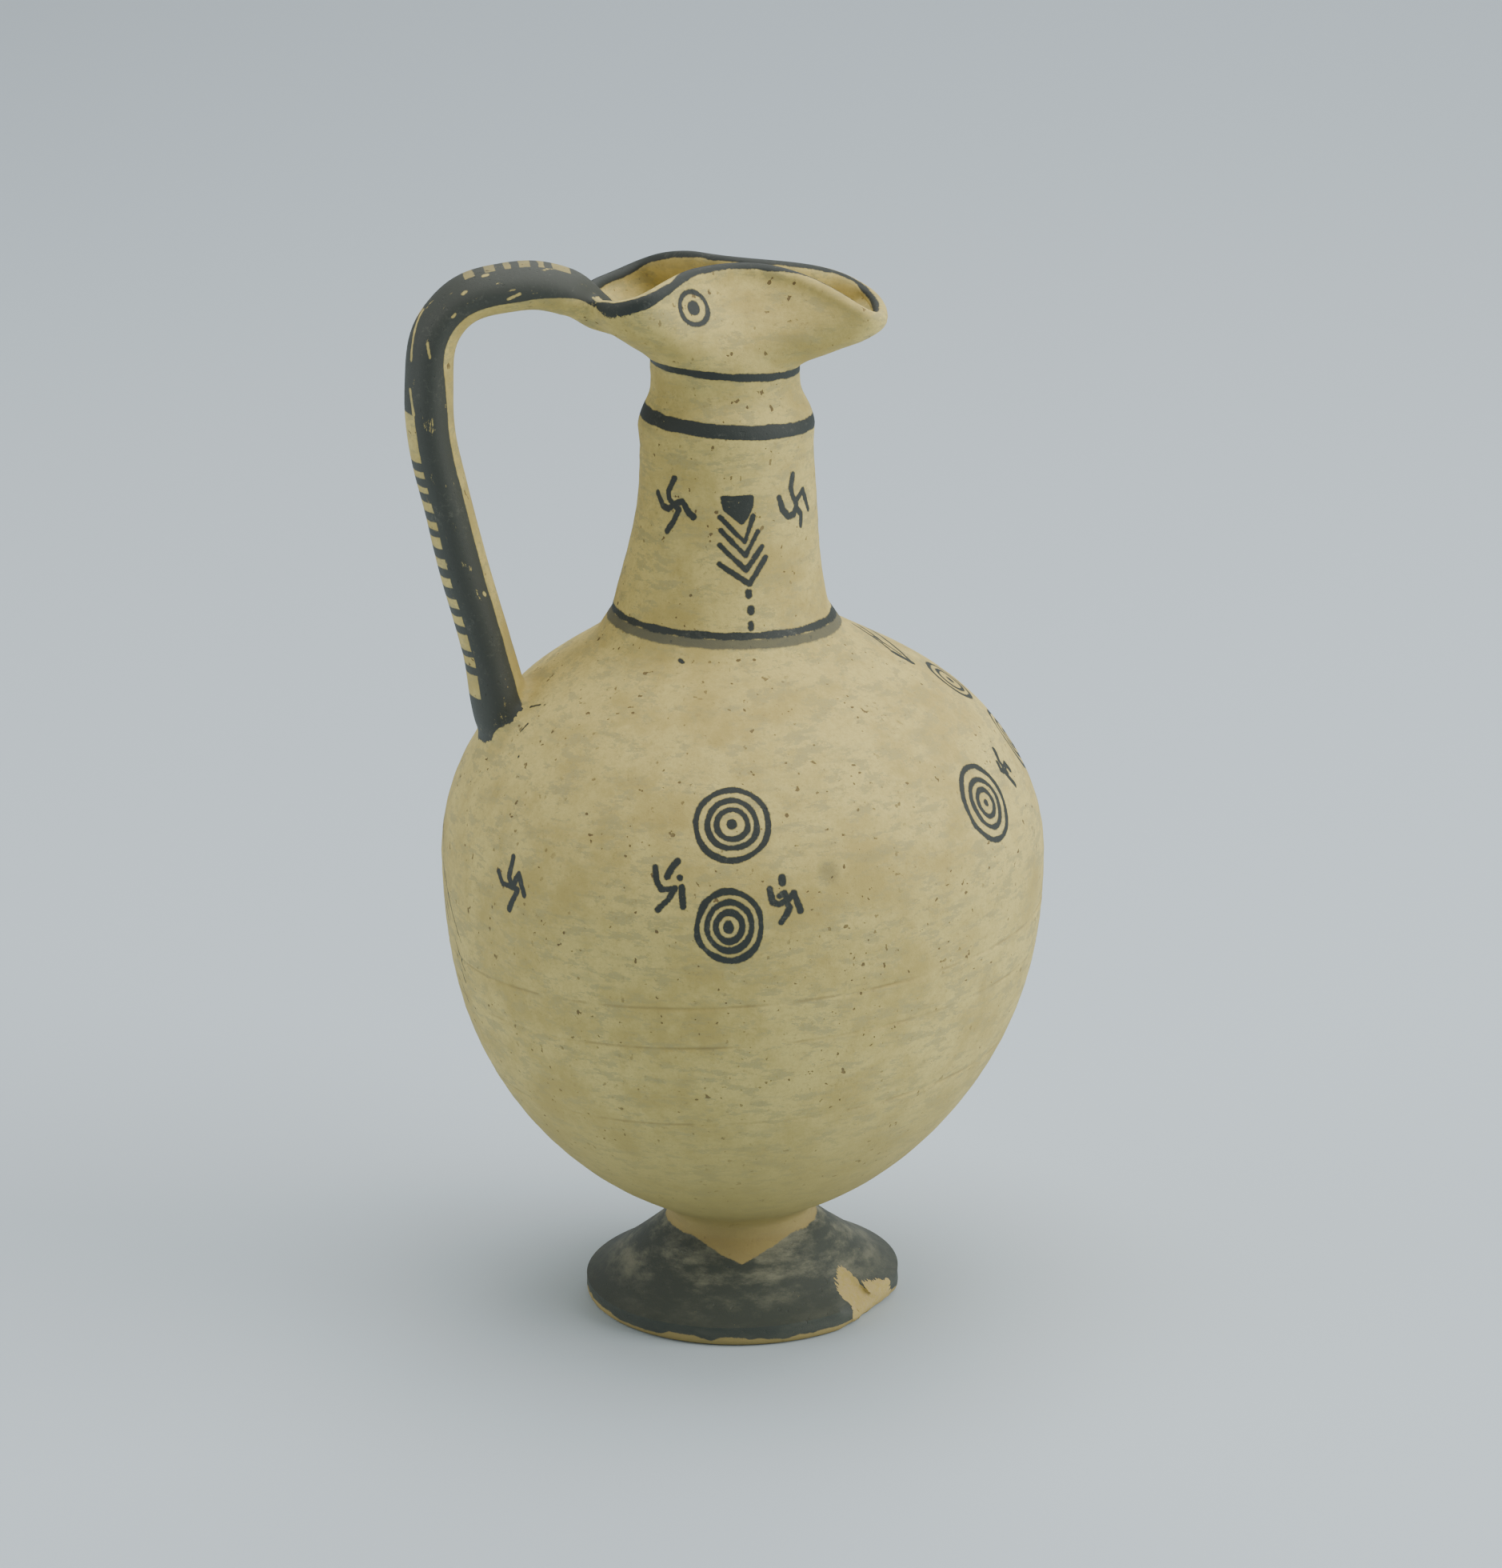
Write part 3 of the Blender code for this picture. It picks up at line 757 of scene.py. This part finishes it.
def stroke_distance(mix, place, start, end):
    """Distance to a straight stroke from start to end."""
    run = end - start
    share = mix.vec("DOT_PRODUCT", place, run / run.length_squared)
    share = mix.num("SUBTRACT", share, start.dot(run) / run.length_squared, clamp=True)
    closest = mix.vec("ADD", mix.vec("SCALE", run, scale=share), start)
    return mix.vec("DISTANCE", place, closest)


FAR_OFF = 99.0


def strokes_distance(mix, place, strokes):
    """Distance to the nearest of several strokes, each a row of points or a single dot."""
    least = FAR_OFF
    for points in strokes:
        if len(points) == 1:
            least = mix.num("MINIMUM", mix.vec("DISTANCE", place, points[0]), least)
        for pair in zip(points, points[1:]):
            least = mix.num("MINIMUM", stroke_distance(mix, place, *pair), least)
    return least


def brushed(mix, place, turn, height, strokes, width):
    """Distance to strokes drawn at a place on the wall, given as (across, up) in millimetres."""
    radius = jug_radius(height / MILLIMETRES) * MILLIMETRES
    rows = []
    for stroke in strokes:
        rows.append([on_jug(turn + math.degrees(across / radius), height + up) for across, up in stroke])
    return mix.num("SUBTRACT", strokes_distance(mix, place, rows), width / 2)


def rings_at(mix, away, radii, width, dot):
    """Distance to rings round a centre, from the distance to the centre itself."""
    least = mix.num("SUBTRACT", away, dot)
    for radius in radii:
        gap = mix.num("ABSOLUTE", mix.num("SUBTRACT", away, radius))
        least = mix.num("MINIMUM", mix.num("SUBTRACT", gap, width / 2), least)
    return least


def band_at(mix, height, middle, half):
    """Distance to a level band."""
    return mix.num("SUBTRACT", mix.num("ABSOLUTE", mix.num("SUBTRACT", height, middle)), half)


def same_hand(turn, height):
    """The folded place, turned back round an upright line so the far side's cross turns alike."""
    centre = on_jug(turn, height)
    angle = math.radians(turn)
    sideways = Vector((-math.sin(angle), math.cos(angle), 0.0))
    offset = skin.num("SUBTRACT", skin.vec("DOT_PRODUCT", mirrored, sideways), centre.dot(sideways))
    offset = skin.num("MULTIPLY", skin.num("MULTIPLY", offset, -2.0), far_side)
    return skin.vec("ADD", skin.vec("SCALE", sideways, scale=offset), mirrored)


# Whirl marks, an old sun sign of the island potters: four short arms that hook round the same way.
whirls = {
    "neck_left": (-125.7, 237.2, [[(-0.3, 6.9), (-2.4, 3.0), (-2.1, 1.1), (-0.4, -0.4)],
                                  [(-6.5, 1.8), (-4.2, -1.2), (-2.0, -1.8), (0.0, 0.0)],
                                  [(0.0, 0.0), (2.4, 0.8), (4.4, -2.0), (5.9, -3.0)],
                                  [(-0.4, -0.4), (1.4, -1.5), (0.0, -4.9), (-1.7, -7.8)]]),
    "neck_right": (-41.1, 235.6, [[(-0.3, 8.1), (-1.4, 4.7), (-0.8, 2.0), (0.5, 0.4)],
                                  [(-5.8, 2.6), (-4.8, -0.8), (-2.8, -3.1), (-0.6, -2.8), (0.5, -0.3)],
                                  [(0.0, 0.5), (3.7, 2.9), (6.2, -2.9)],
                                  [(0.2, -1.0), (2.4, -3.4), (2.1, -6.4)]]),
    "front_left": (-103.7, 147.5, [[(-4.0, 5.0), (-3.2, 1.2), (-1.9, -0.4), (1.2, -0.2)],
                                   [(2.3, 6.8), (0.6, 5.0), (-0.5, 2.8)],
                                   [(1.7, 0.1), (-0.3, -3.2), (-2.9, -5.8)],
                                   [(3.1, 2.8)], [(3.5, 0.4), (3.9, -4.7)]]),
    "front_right": (-82.1, 145.1, [[(-4.0, 2.2), (-3.4, -1.0), (-1.9, -1.7)], [(-0.4, 5.1), (-0.5, 3.8)],
                                   [(-1.6, 0.4), (-0.2, 1.0), (0.7, -0.7), (-1.9, -1.7)],
                                   [(0.7, -0.7), (2.4, 1.0), (2.9, -0.8), (3.7, -3.7)],
                                   [(0.2, -1.2), (0.9, -2.8), (-1.5, -6.5)]]),
    "back_flank": (-138.1, 140.8, [[(-0.9, 7.7), (-1.7, 2.1), (0.0, 0.0)],
                                   [(-6.5, 2.7), (-4.2, -0.1), (0.0, -0.3)],
                                   [(0.0, -0.3), (2.3, 3.9), (4.9, -1.1)],
                                   [(0.0, 0.0), (2.2, -0.6), (-1.1, -6.5)]]),
    "spout_flank": (-17.0, 160.8, [[(2.5, 4.9), (0.3, 2.3), (0.6, 0.2)],
                                   [(-1.3, 2.3), (-2.0, 0.6), (0.9, -1.0)],
                                   [(0.6, 0.2), (3.5, 0.8), (4.1, -1.0)],
                                   [(-0.5, 0.1), (0.2, -2.0), (1.6, -4.6)]]),
}
paint = FAR_OFF
for turn, height, strokes in whirls.values():
    whirl = brushed(skin, same_hand(turn, height), turn, height, strokes, BRUSH)
    paint = skin.num("MINIMUM", whirl, paint)

# Rings: two at each side one above the other, one on each flank of the spout, a column in front.
loose = skin.num("MULTIPLY", skin.num("SUBTRACT", skin.cloud(14.0, detail=1.0, seed=11.0), 0.5), 3.0)


def away_from(place, turn, height, wide=1.0, tall=1.0):
    """Distance to a place on the wall, for rings drawn wider or taller than round."""
    angle = math.radians(turn)
    sideways = Vector((-math.sin(angle), math.cos(angle), 0.0))
    offset = skin.vec("SUBTRACT", place, on_jug(turn, height))
    across = skin.num("MULTIPLY", skin.vec("DOT_PRODUCT", offset, sideways), 1.0 / wide - 1.0)
    offset = skin.vec("ADD", skin.vec("SCALE", sideways, scale=across), offset)
    offset = skin.vec("MULTIPLY", offset, (1.0, 1.0, 1.0 / tall))
    return skin.num("ADD", skin.vec("LENGTH", offset), loose)


upper = away_from(mirrored, -91.3, 163.4)
paint = skin.num("MINIMUM", rings_at(skin, upper, (9.7, 6.35, 3.65), 1.90, 1.0), paint)
lower = away_from(mirrored, -92.8, 137.8, wide=0.925, tall=1.086)
paint = skin.num("MINIMUM", rings_at(skin, lower, (8.8, 6.1, 3.6), 1.80, 1.5), paint)
flank = away_from(mirrored, -31.2, 157.2, wide=0.88)
paint = skin.num("MINIMUM", rings_at(skin, flank, (10.6, 7.0, 4.0), 1.85, 1.4), paint)
front = away_from(skin.place, 4.0, 179.0)
paint = skin.num("MINIMUM", rings_at(skin, front, (7.5, 4.6), 1.6, 1.3), paint)
front = away_from(skin.place, 4.0, 161.6)
paint = skin.num("MINIMUM", rings_at(skin, front, (9.2, 6.2, 3.4), 1.6, 1.1), paint)

# Nested chevrons under a filled shield, and three dots, on three sides of the neck but the handle's.
turn_share = skin.num("ARCTAN2", across_y, skin.num("SUBTRACT", across_x, -1.3))
quarter = skin.num("MULTIPLY_ADD", turn_share, 2.0 / math.pi, 0.86)
quarter = skin.num("SUBTRACT", skin.num("FRACT", skin.num("ADD", quarter, 4.5)), 0.5)
neck_across = skin.num("MULTIPLY", quarter, 25.0 * math.pi / 2)
neck_fold = skin.add("ShaderNodeCombineXYZ")
skin.feed(neck_fold.inputs[0], neck_across)
skin.feed(neck_fold.inputs[1], up_z)
neck_place = neck_fold.outputs[0]
chevrons = [[(-6.2, 234.3), (0.2, 227.4), (2.9, 234.2)], [(-6.1, 230.8), (0.2, 223.7), (3.9, 229.9)],
            [(-6.5, 226.8), (0.2, 219.8), (4.8, 225.6)], [(-6.6, 221.7), (0.9, 216.0), (5.7, 222.7)]]
shield = [[(-5.2, 239.4), (2.4, 239.1)],
          [(-5.1, 238.4), (-4.6, 236.8), (-0.4, 233.0), (2.0, 236.8), (2.3, 238.4)],
          [(-4.0, 237.8), (1.4, 237.6)], [(-3.2, 236.4), (0.8, 236.2)], [(-1.8, 235.0), (0.2, 234.9)]]
dots = [[(0.5, 213.7), (0.5, 212.9)], [(0.8, 209.4), (0.8, 208.4)], [(0.6, 205.4), (0.6, 204.2)]]


def neck_strokes(strokes):
    rows = [[Vector((*point, 0.0)) for point in stroke] for stroke in strokes]
    return strokes_distance(skin, neck_place, rows)


no_column = skin.step(across_x, -14.0, -11.0, first=9.0, last=0.0)
column = skin.num("MINIMUM", skin.num("SUBTRACT", neck_strokes(chevrons), 0.72),
                  skin.num("SUBTRACT", neck_strokes(shield + dots), 0.95))
paint = skin.num("MINIMUM", skin.num("ADD", column, no_column), paint)

# An arrow drawn round the front of the shoulder, dabs of the brush, and thin lines under the handle.
arrow = [[(13.0, 5.4), (5.1, 2.3), (0.0, 0.0)], [(17.6, 3.9), (5.0, 1.4)],
         [(24.7, 1.4), (11.3, 0.4), (-0.5, -2.7)], [(7.8, 2.6), (2.1, -1.0)]]
arrow_head = [[(0.4, 0.0), (-0.5, -2.7)]]
paint = skin.num("MINIMUM", brushed(skin, skin.place, -2.4, 189.0, arrow, 1.3), paint)
paint = skin.num("MINIMUM", brushed(skin, skin.place, -2.4, 189.0, arrow_head, 2.6), paint)
dabs = [[(-1.8, -0.7), (1.7, 0.6)], [(3.6, 1.0)], [(2.6, -5.7), (3.1, -3.8)], [(8.0, -10.5)]]
paint = skin.num("MINIMUM", brushed(skin, skin.place, -156.5, 181.8, dabs, 0.9), paint)
lone_dab = [[(-0.5, 0.2), (0.5, -0.2)]]
paint = skin.num("MINIMUM", brushed(skin, skin.place, -108.4, 196.3, lone_dab, 1.1), paint)
fan = [[(-4.8, 25.0), (5.0, 2.0), (21.1, -22.9)], [(-1.6, 24.0), (9.0, 3.0), (23.5, -16.0)],
       [(1.6, 23.0), (12.0, 4.5), (25.0, -12.0)], [(4.8, 22.0), (14.5, 7.5), (25.5, -3.8)],
       [(6.0, 21.0), (9.9, 10.8)], [(-8.0, 26.0), (0.0, 2.0), (8.0, -20.0)]]
paint = skin.num("MINIMUM", brushed(skin, skin.place, -176.0, 120.0, fan, 0.85), paint)

# Bands: round the lip, inside it, at the bottom of the mouth, on the ridge and under the neck.
sloped = skin.num("MULTIPLY_ADD", across_x, 0.081, up_z)
paint = skin.num("MINIMUM", band_at(skin, sloped, 257.6, 1.9), paint)
mouth_level = skin.num("MULTIPLY_ADD", across_x, 0.10, up_z)
paint = skin.num("MINIMUM", band_at(skin, mouth_level, 272.2, 1.1), paint)
neck_level = skin.num("MULTIPLY_ADD", across_x, 0.049, up_z)
paint = skin.num("MINIMUM", band_at(skin, neck_level, 202.5, 0.95), paint)
stripe = band_at(skin, neck_level, 200.5, 1.25)
lip_depth = skin.step(across_x, -21.0, -6.0, first=5.2, last=2.6)
lip_depth = skin.num("SUBTRACT", lip_depth, skin.step(across_x, 10.0, 26.0, first=0.0, last=2.8))
lip_depth = skin.num("SUBTRACT", lip_depth, skin.step(across_x, -36.0, -30.0, first=2.4, last=0.0))
flaky = skin.num("SUBTRACT", skin.cloud(2.6, detail=5.0, rough=0.8, seed=14.0), 0.5)
flaky = skin.num("MULTIPLY", flaky, skin.step(across_x, -32.0, -22.0, first=7.0, last=1.2))
lip_low = skin.num("ADD", skin.num("SUBTRACT", lip_distance, lip_depth), flaky)
near_inner = skin.step(across_x, -15.0, -8.0, first=1.1, last=-2.3)
far_inner = skin.step(across_x, -16.0, -6.0, first=-3.2, last=-2.3)
lip_inner = skin.num("MULTIPLY_ADD", far_side, skin.num("SUBTRACT", far_inner, near_inner), near_inner)
lip_band = skin.num("MAXIMUM", lip_low, skin.num("SUBTRACT", lip_inner, lip_distance))
paint = skin.num("MINIMUM", lip_band, paint)

# The eye: a ring with a dot on each cheek.
EYE = Vector((-8.23, -18.05, 290.57))
eye_away = skin.num("ADD", skin.vec("DISTANCE", mirrored, EYE), skin.num("MULTIPLY", loose, 0.3))
paint = skin.num("MINIMUM", rings_at(skin, eye_away, (4.55,), 1.70, 2.1), paint)

# The foot is black below a ragged line that dips to a point on each side; its rim is rubbed bare.
dip = skin.num("SUBTRACT", 1.0, skin.num("DIVIDE", skin.num("ABSOLUTE", across_x), 14.0), clamp=True)
foot_top = skin.num("SUBTRACT", 22.6, skin.num("MULTIPLY", dip, 4.8))
rim_bare = skin.step(skin.cloud(9.0, detail=2.0, seed=12.0), 0.35, 0.65, first=1.7, last=3.0)
foot = skin.num("MAXIMUM", skin.num("SUBTRACT", up_z, foot_top), skin.num("SUBTRACT", rim_bare, up_z))
paint = skin.num("MINIMUM", foot, paint)

outside = skin.num("GREATER_THAN", lip_distance, -6.5)
distance = skin.num("ADD", paint, edge)
covered = skin.step(distance, 0.22, -0.22)
covered = skin.num("MULTIPLY", covered, outside)


def worn_paint(mix, covered, amount):
    """Coverage with flakes lost, and the colour of the paint with its grey wear."""
    flakes = mix.step(mix.cloud(2.2, detail=5.0, rough=0.8, seed=21.0), amount, amount + 0.04, 1.0, 0.0)
    rubbed = mix.num("MULTIPLY_ADD", mix.cloud(9.0, detail=2.0, seed=22.0), 0.5,
                     mix.cloud(1.3, detail=5.0, rough=0.8, seed=23.0))
    return mix.num("MULTIPLY", covered, flakes), mix.blend(mix.step(rubbed, 0.80, 1.12), BLACK, FADED)


covered, paint_colour = worn_paint(skin, covered, 0.67)

# Wear, dirt and painted shade: the foot is rubbed pale, the low body and the stem are darkened as painted
# shade, and the scored lines hold dirt.
SMEAR_PLACE = (25.3, -77.5, 150.4)
on_foot = skin.step(up_z, 25.0, 23.0)
paint_colour = skin.blend(on_foot, paint_colour, FOOT_BLACK)
worn_foot = skin.cloud(15.0, detail=7.0, rough=0.72, stretch=(1.0, 1.0, 3.2), seed=31.0)
worn_foot = skin.num("MULTIPLY", skin.step(worn_foot, 0.42, 0.72), on_foot)
worn_foot = skin.num("MULTIPLY", worn_foot, skin.step(up_z, 4.0, 17.0, first=0.15, last=1.0))
paint_colour = skin.blend(worn_foot, paint_colour, SMUDGE)
# Painted shade: the bare clay grows darker towards the bottom and darkest on the stem, standing in for
# the shade under the body.
painted_low_shade = skin.step(up_z, 100.0, 26.0, first=0.0, last=0.85)
bare_colour = skin.blend(painted_low_shade, bare_colour, skin.blend(skin.step(up_z, 30.0, 24.0), LOW_BODY_SHADE, STEM_SHADE))
line_level = skin.num("MULTIPLY_ADD", across_x, -LINE_TILT, up_z)
soil = FAR_OFF
for line in LINE_HEIGHTS:
    soil = skin.num("MINIMUM", band_at(skin, line_level, line * MILLIMETRES, 0.30), soil)
patchy = skin.step(skin.cloud(12.0, detail=3.0, seed=13.0), 0.40, 0.60)
soil = skin.num("MULTIPLY", skin.step(soil, 0.35, -0.20), patchy)
bare_colour = skin.blend(skin.num("MULTIPLY", soil, 0.55), bare_colour, GRIT)
pale_stripe = skin.num("MULTIPLY", skin.step(skin.num("ADD", stripe, edge), 0.3, -0.3), 0.88)
smear = skin.vec("DISTANCE", skin.place, SMEAR_PLACE)
smear = skin.num("ADD", smear, skin.num("MULTIPLY", edge, 2.5))
smear = skin.step(smear, 4.6, 0.5, first=0.0, last=0.45)
bare_colour = skin.blend(smear, bare_colour, WASH)
colour = skin.blend(pale_stripe, bare_colour, WASH)
colour = skin.blend(covered, colour, paint_colour)
CLAY_ROUGHNESS = 0.82
PAINT_ROUGHNESS = 0.66


def finish_surface(mix, colour, covered, streaks, specks):
    roughness = mix.step(covered, 0.0, 1.0, first=CLAY_ROUGHNESS, last=PAINT_ROUGHNESS)
    mix.feed(mix.shader.inputs["Base Color"], colour)
    mix.feed(mix.shader.inputs["Roughness"], roughness)
    mix.feed(mix.shader.inputs["Normal"], clay_bump(mix, streaks, specks))


finish_surface(skin, colour, covered, streaks, specks)

# The strap's paint: black down both edges, with a ladder of bare squares on the outer face.
LADDER_BARS = ((29.2, 0.95), (32.3, 0.9), (36.7, 1.1), (40.5, 1.3), (45.6, 1.4), (66.6, 17.8),
               (98.0, 1.25), (102.3, 1.3), (106.7, 1.35), (112.3, 1.45), (117.0, 1.1), (122.7, 1.5),
               (128.3, 1.35), (134.1, 1.7), (139.7, 1.3), (145.0, 1.35), (152.2, 1.0), (157.2, 1.25))
LADDER_TOP = 24.0
LADDER_BOTTOM = 165.0
bar = Recipe(painted_strap)
streaks = bar.cloud(9.0, detail=3.0, rough=0.6, seed=3.0)
bare_colour, specks = clay_colour(bar, streaks)
round_share, along = surface_map(bar)
round_share = bar.num("ABSOLUTE", bar.num("SUBTRACT", round_share, 0.5))
degrees_round = bar.num("MULTIPLY", bar.num("SUBTRACT", 0.5, round_share), 360.0)
edge = ragged_edge(bar)
ladder_edge = bar.step(along, 58.0, 92.0, first=23.0, last=48.0)
inner_edge = bar.step(along, 10.0, 38.0, first=70.0, last=110.0)
inner_edge = bar.num("ADD", inner_edge, bar.step(along, 58.0, 88.0, first=0.0, last=21.0))
outer_gap = bar.num("MULTIPLY", bar.num("SUBTRACT", ladder_edge, degrees_round), 0.16)
inner_gap = bar.num("MULTIPLY", bar.num("SUBTRACT", degrees_round, inner_edge), 0.13)
rungs = FAR_OFF
for middle, half in LADDER_BARS:
    rungs = bar.num("MINIMUM", band_at(bar, along, middle, half), rungs)
ends = bar.num("MAXIMUM", bar.num("SUBTRACT", LADDER_TOP, along),
               bar.num("SUBTRACT", along, LADDER_BOTTOM))
ends = bar.num("MULTIPLY", ends, -1.0)
face_paint = bar.num("MINIMUM", outer_gap, rungs)
face_paint = bar.num("MINIMUM", face_paint, ends)
strap_flat = bar.add("ShaderNodeCombineXYZ")
bar.feed(strap_flat.inputs[0], bar.num("MULTIPLY", degrees_round, 0.15))
bar.feed(strap_flat.inputs[1], along)
slivers = [[(0.8, 60.0), (3.6, 66.0), (4.4, 70.0)], [(4.5, 78.0), (6.4, 84.0)],
           [(9.8, 65.0), (11.8, 68.0)],
           [(12.5, 55.0), (12.6, 55.8)], [(8.0, 50.0), (8.2, 50.6)], [(4.5, 44.0), (4.6, 44.8)],
           [(17.6, 135.8), (17.8, 136.4)], [(13.4, 37.0), (14.6, 40.0)]]
rows = [[Vector((*point, 0.0)) for point in stroke] for stroke in slivers]
scraped = bar.num("SUBTRACT", strokes_distance(bar, strap_flat.outputs[0], rows), 0.45)
scraped = bar.num("ADD", scraped, bar.num("MULTIPLY", edge, 0.8))
root = bar.num("SUBTRACT", along, bar.step(degrees_round, 20.0, 75.0, first=181.0, last=173.5))
painted = bar.num("MAXIMUM", bar.num("MAXIMUM", face_paint, inner_gap), root)
distance = bar.num("ADD", painted, bar.num("MULTIPLY", edge, 0.7))
covered, paint_colour = worn_paint(bar, bar.step(distance, 0.22, -0.22), 0.70)
stained = bar.step(along, 48.5, 51.0, first=0.5, last=0.0)
stained = bar.num("MULTIPLY", stained, bar.step(degrees_round, 52.0, 44.0))
covered = bar.num("MAXIMUM", covered, stained)
covered = bar.num("MULTIPLY", covered, bar.step(scraped, -0.15, 0.25))
flakes = bar.cloud(2.4, detail=6.0, rough=0.8, place=strap_flat.outputs[0],
                   stretch=(1.0, 0.35, 1.0), seed=33.0)
covered = bar.num("MULTIPLY", covered, bar.step(flakes, 0.610, 0.640, first=1.0, last=0.25))
paint_colour = bar.blend(0.20, paint_colour, FADED)
finish_surface(bar, bar.blend(covered, bare_colour, paint_colour), covered, streaks, specks)

# The broken clay: bare and rough, paler than the slip, with dirt in its hollows.
inside = Recipe(broken_clay)
crumbs = inside.cloud(1.1, detail=4.0, rough=0.7, seed=5.0)
inside.feed(inside.shader.inputs["Base Color"], inside.blend(inside.step(crumbs, 0.35, 0.70), BUFF, BARE))
inside.shader.inputs["Roughness"].default_value = 0.92
node = inside.add("ShaderNodeBump")
node.inputs["Strength"].default_value = 0.8
node.inputs["Distance"].default_value = 0.0003
inside.feed(node.inputs["Height"], crumbs)
inside.feed(inside.shader.inputs["Normal"], node.outputs["Normal"])

# The table is a plain pale sheet, with soft light from the right and a weaker one from the left.
TABLE = (0.555, 0.640, 0.690)
bpy.ops.mesh.primitive_plane_add(size=12.0, location=(0.0, 2.0, 0.0))
table = bpy.context.object
table.name = "table"
sheet = Recipe(bpy.data.materials.new("pale_table"))
table.data.materials.append(bpy.data.materials["pale_table"])
sheet.shader.inputs["Base Color"].default_value = (*TABLE, 1.0)
sheet.shader.inputs["Roughness"].default_value = 0.9


def soft_light(name, place, target, size, power):
    light = bpy.data.lights.new(name, "AREA")
    light.size = size
    light.energy = power
    lamp = bpy.data.objects.new(name, light)
    lamp.location = place
    lamp.rotation_euler = (Vector(target) - Vector(place)).to_track_quat("-Z", "Y").to_euler()
    bpy.context.scene.collection.objects.link(lamp)


soft_light("right_window", (1.7, -0.5, 1.0), (0.0, 0.0, 0.15), 1.5, 35.0)
soft_light("left_screen", (-1.7, -0.2, 0.8), (0.0, 0.0, 0.15), 1.5, 13.0)
soft_light("ceiling", (0.2, 0.2, 2.2), (0.0, 0.0, 0.15), 1.8, 40.0)
soft_light("back_lamp", (0.5, 2.9, 1.9), (0.3, 2.6, 0.0), 2.2, 30.0)
world = bpy.data.worlds.new("room")
bpy.context.scene.world = world
world.use_nodes = True
world.node_tree.nodes["Background"].inputs["Color"].default_value = (0.86, 0.93, 1.0, 1.0)
world.node_tree.nodes["Background"].inputs["Strength"].default_value = 0.26

CAMERA_PLACE = (0.00497, -1.40658, 0.5918)
CAMERA_PITCH = math.radians(72.6)
CAMERA_ROLL = math.radians(-1.05)
LENS = 121.22
camera = bpy.data.objects.new("camera", bpy.data.cameras.new("camera"))
bpy.context.scene.collection.objects.link(camera)
camera.data.lens = LENS
camera.data.sensor_width = 36.0
camera.data.sensor_fit = "AUTO"
camera.data.clip_end = 50.0
turn = Matrix.Rotation(CAMERA_PITCH, 4, "X") @ Matrix.Rotation(CAMERA_ROLL, 4, "Z")
camera.matrix_world = Matrix.Translation(CAMERA_PLACE) @ turn
bpy.context.scene.camera = camera
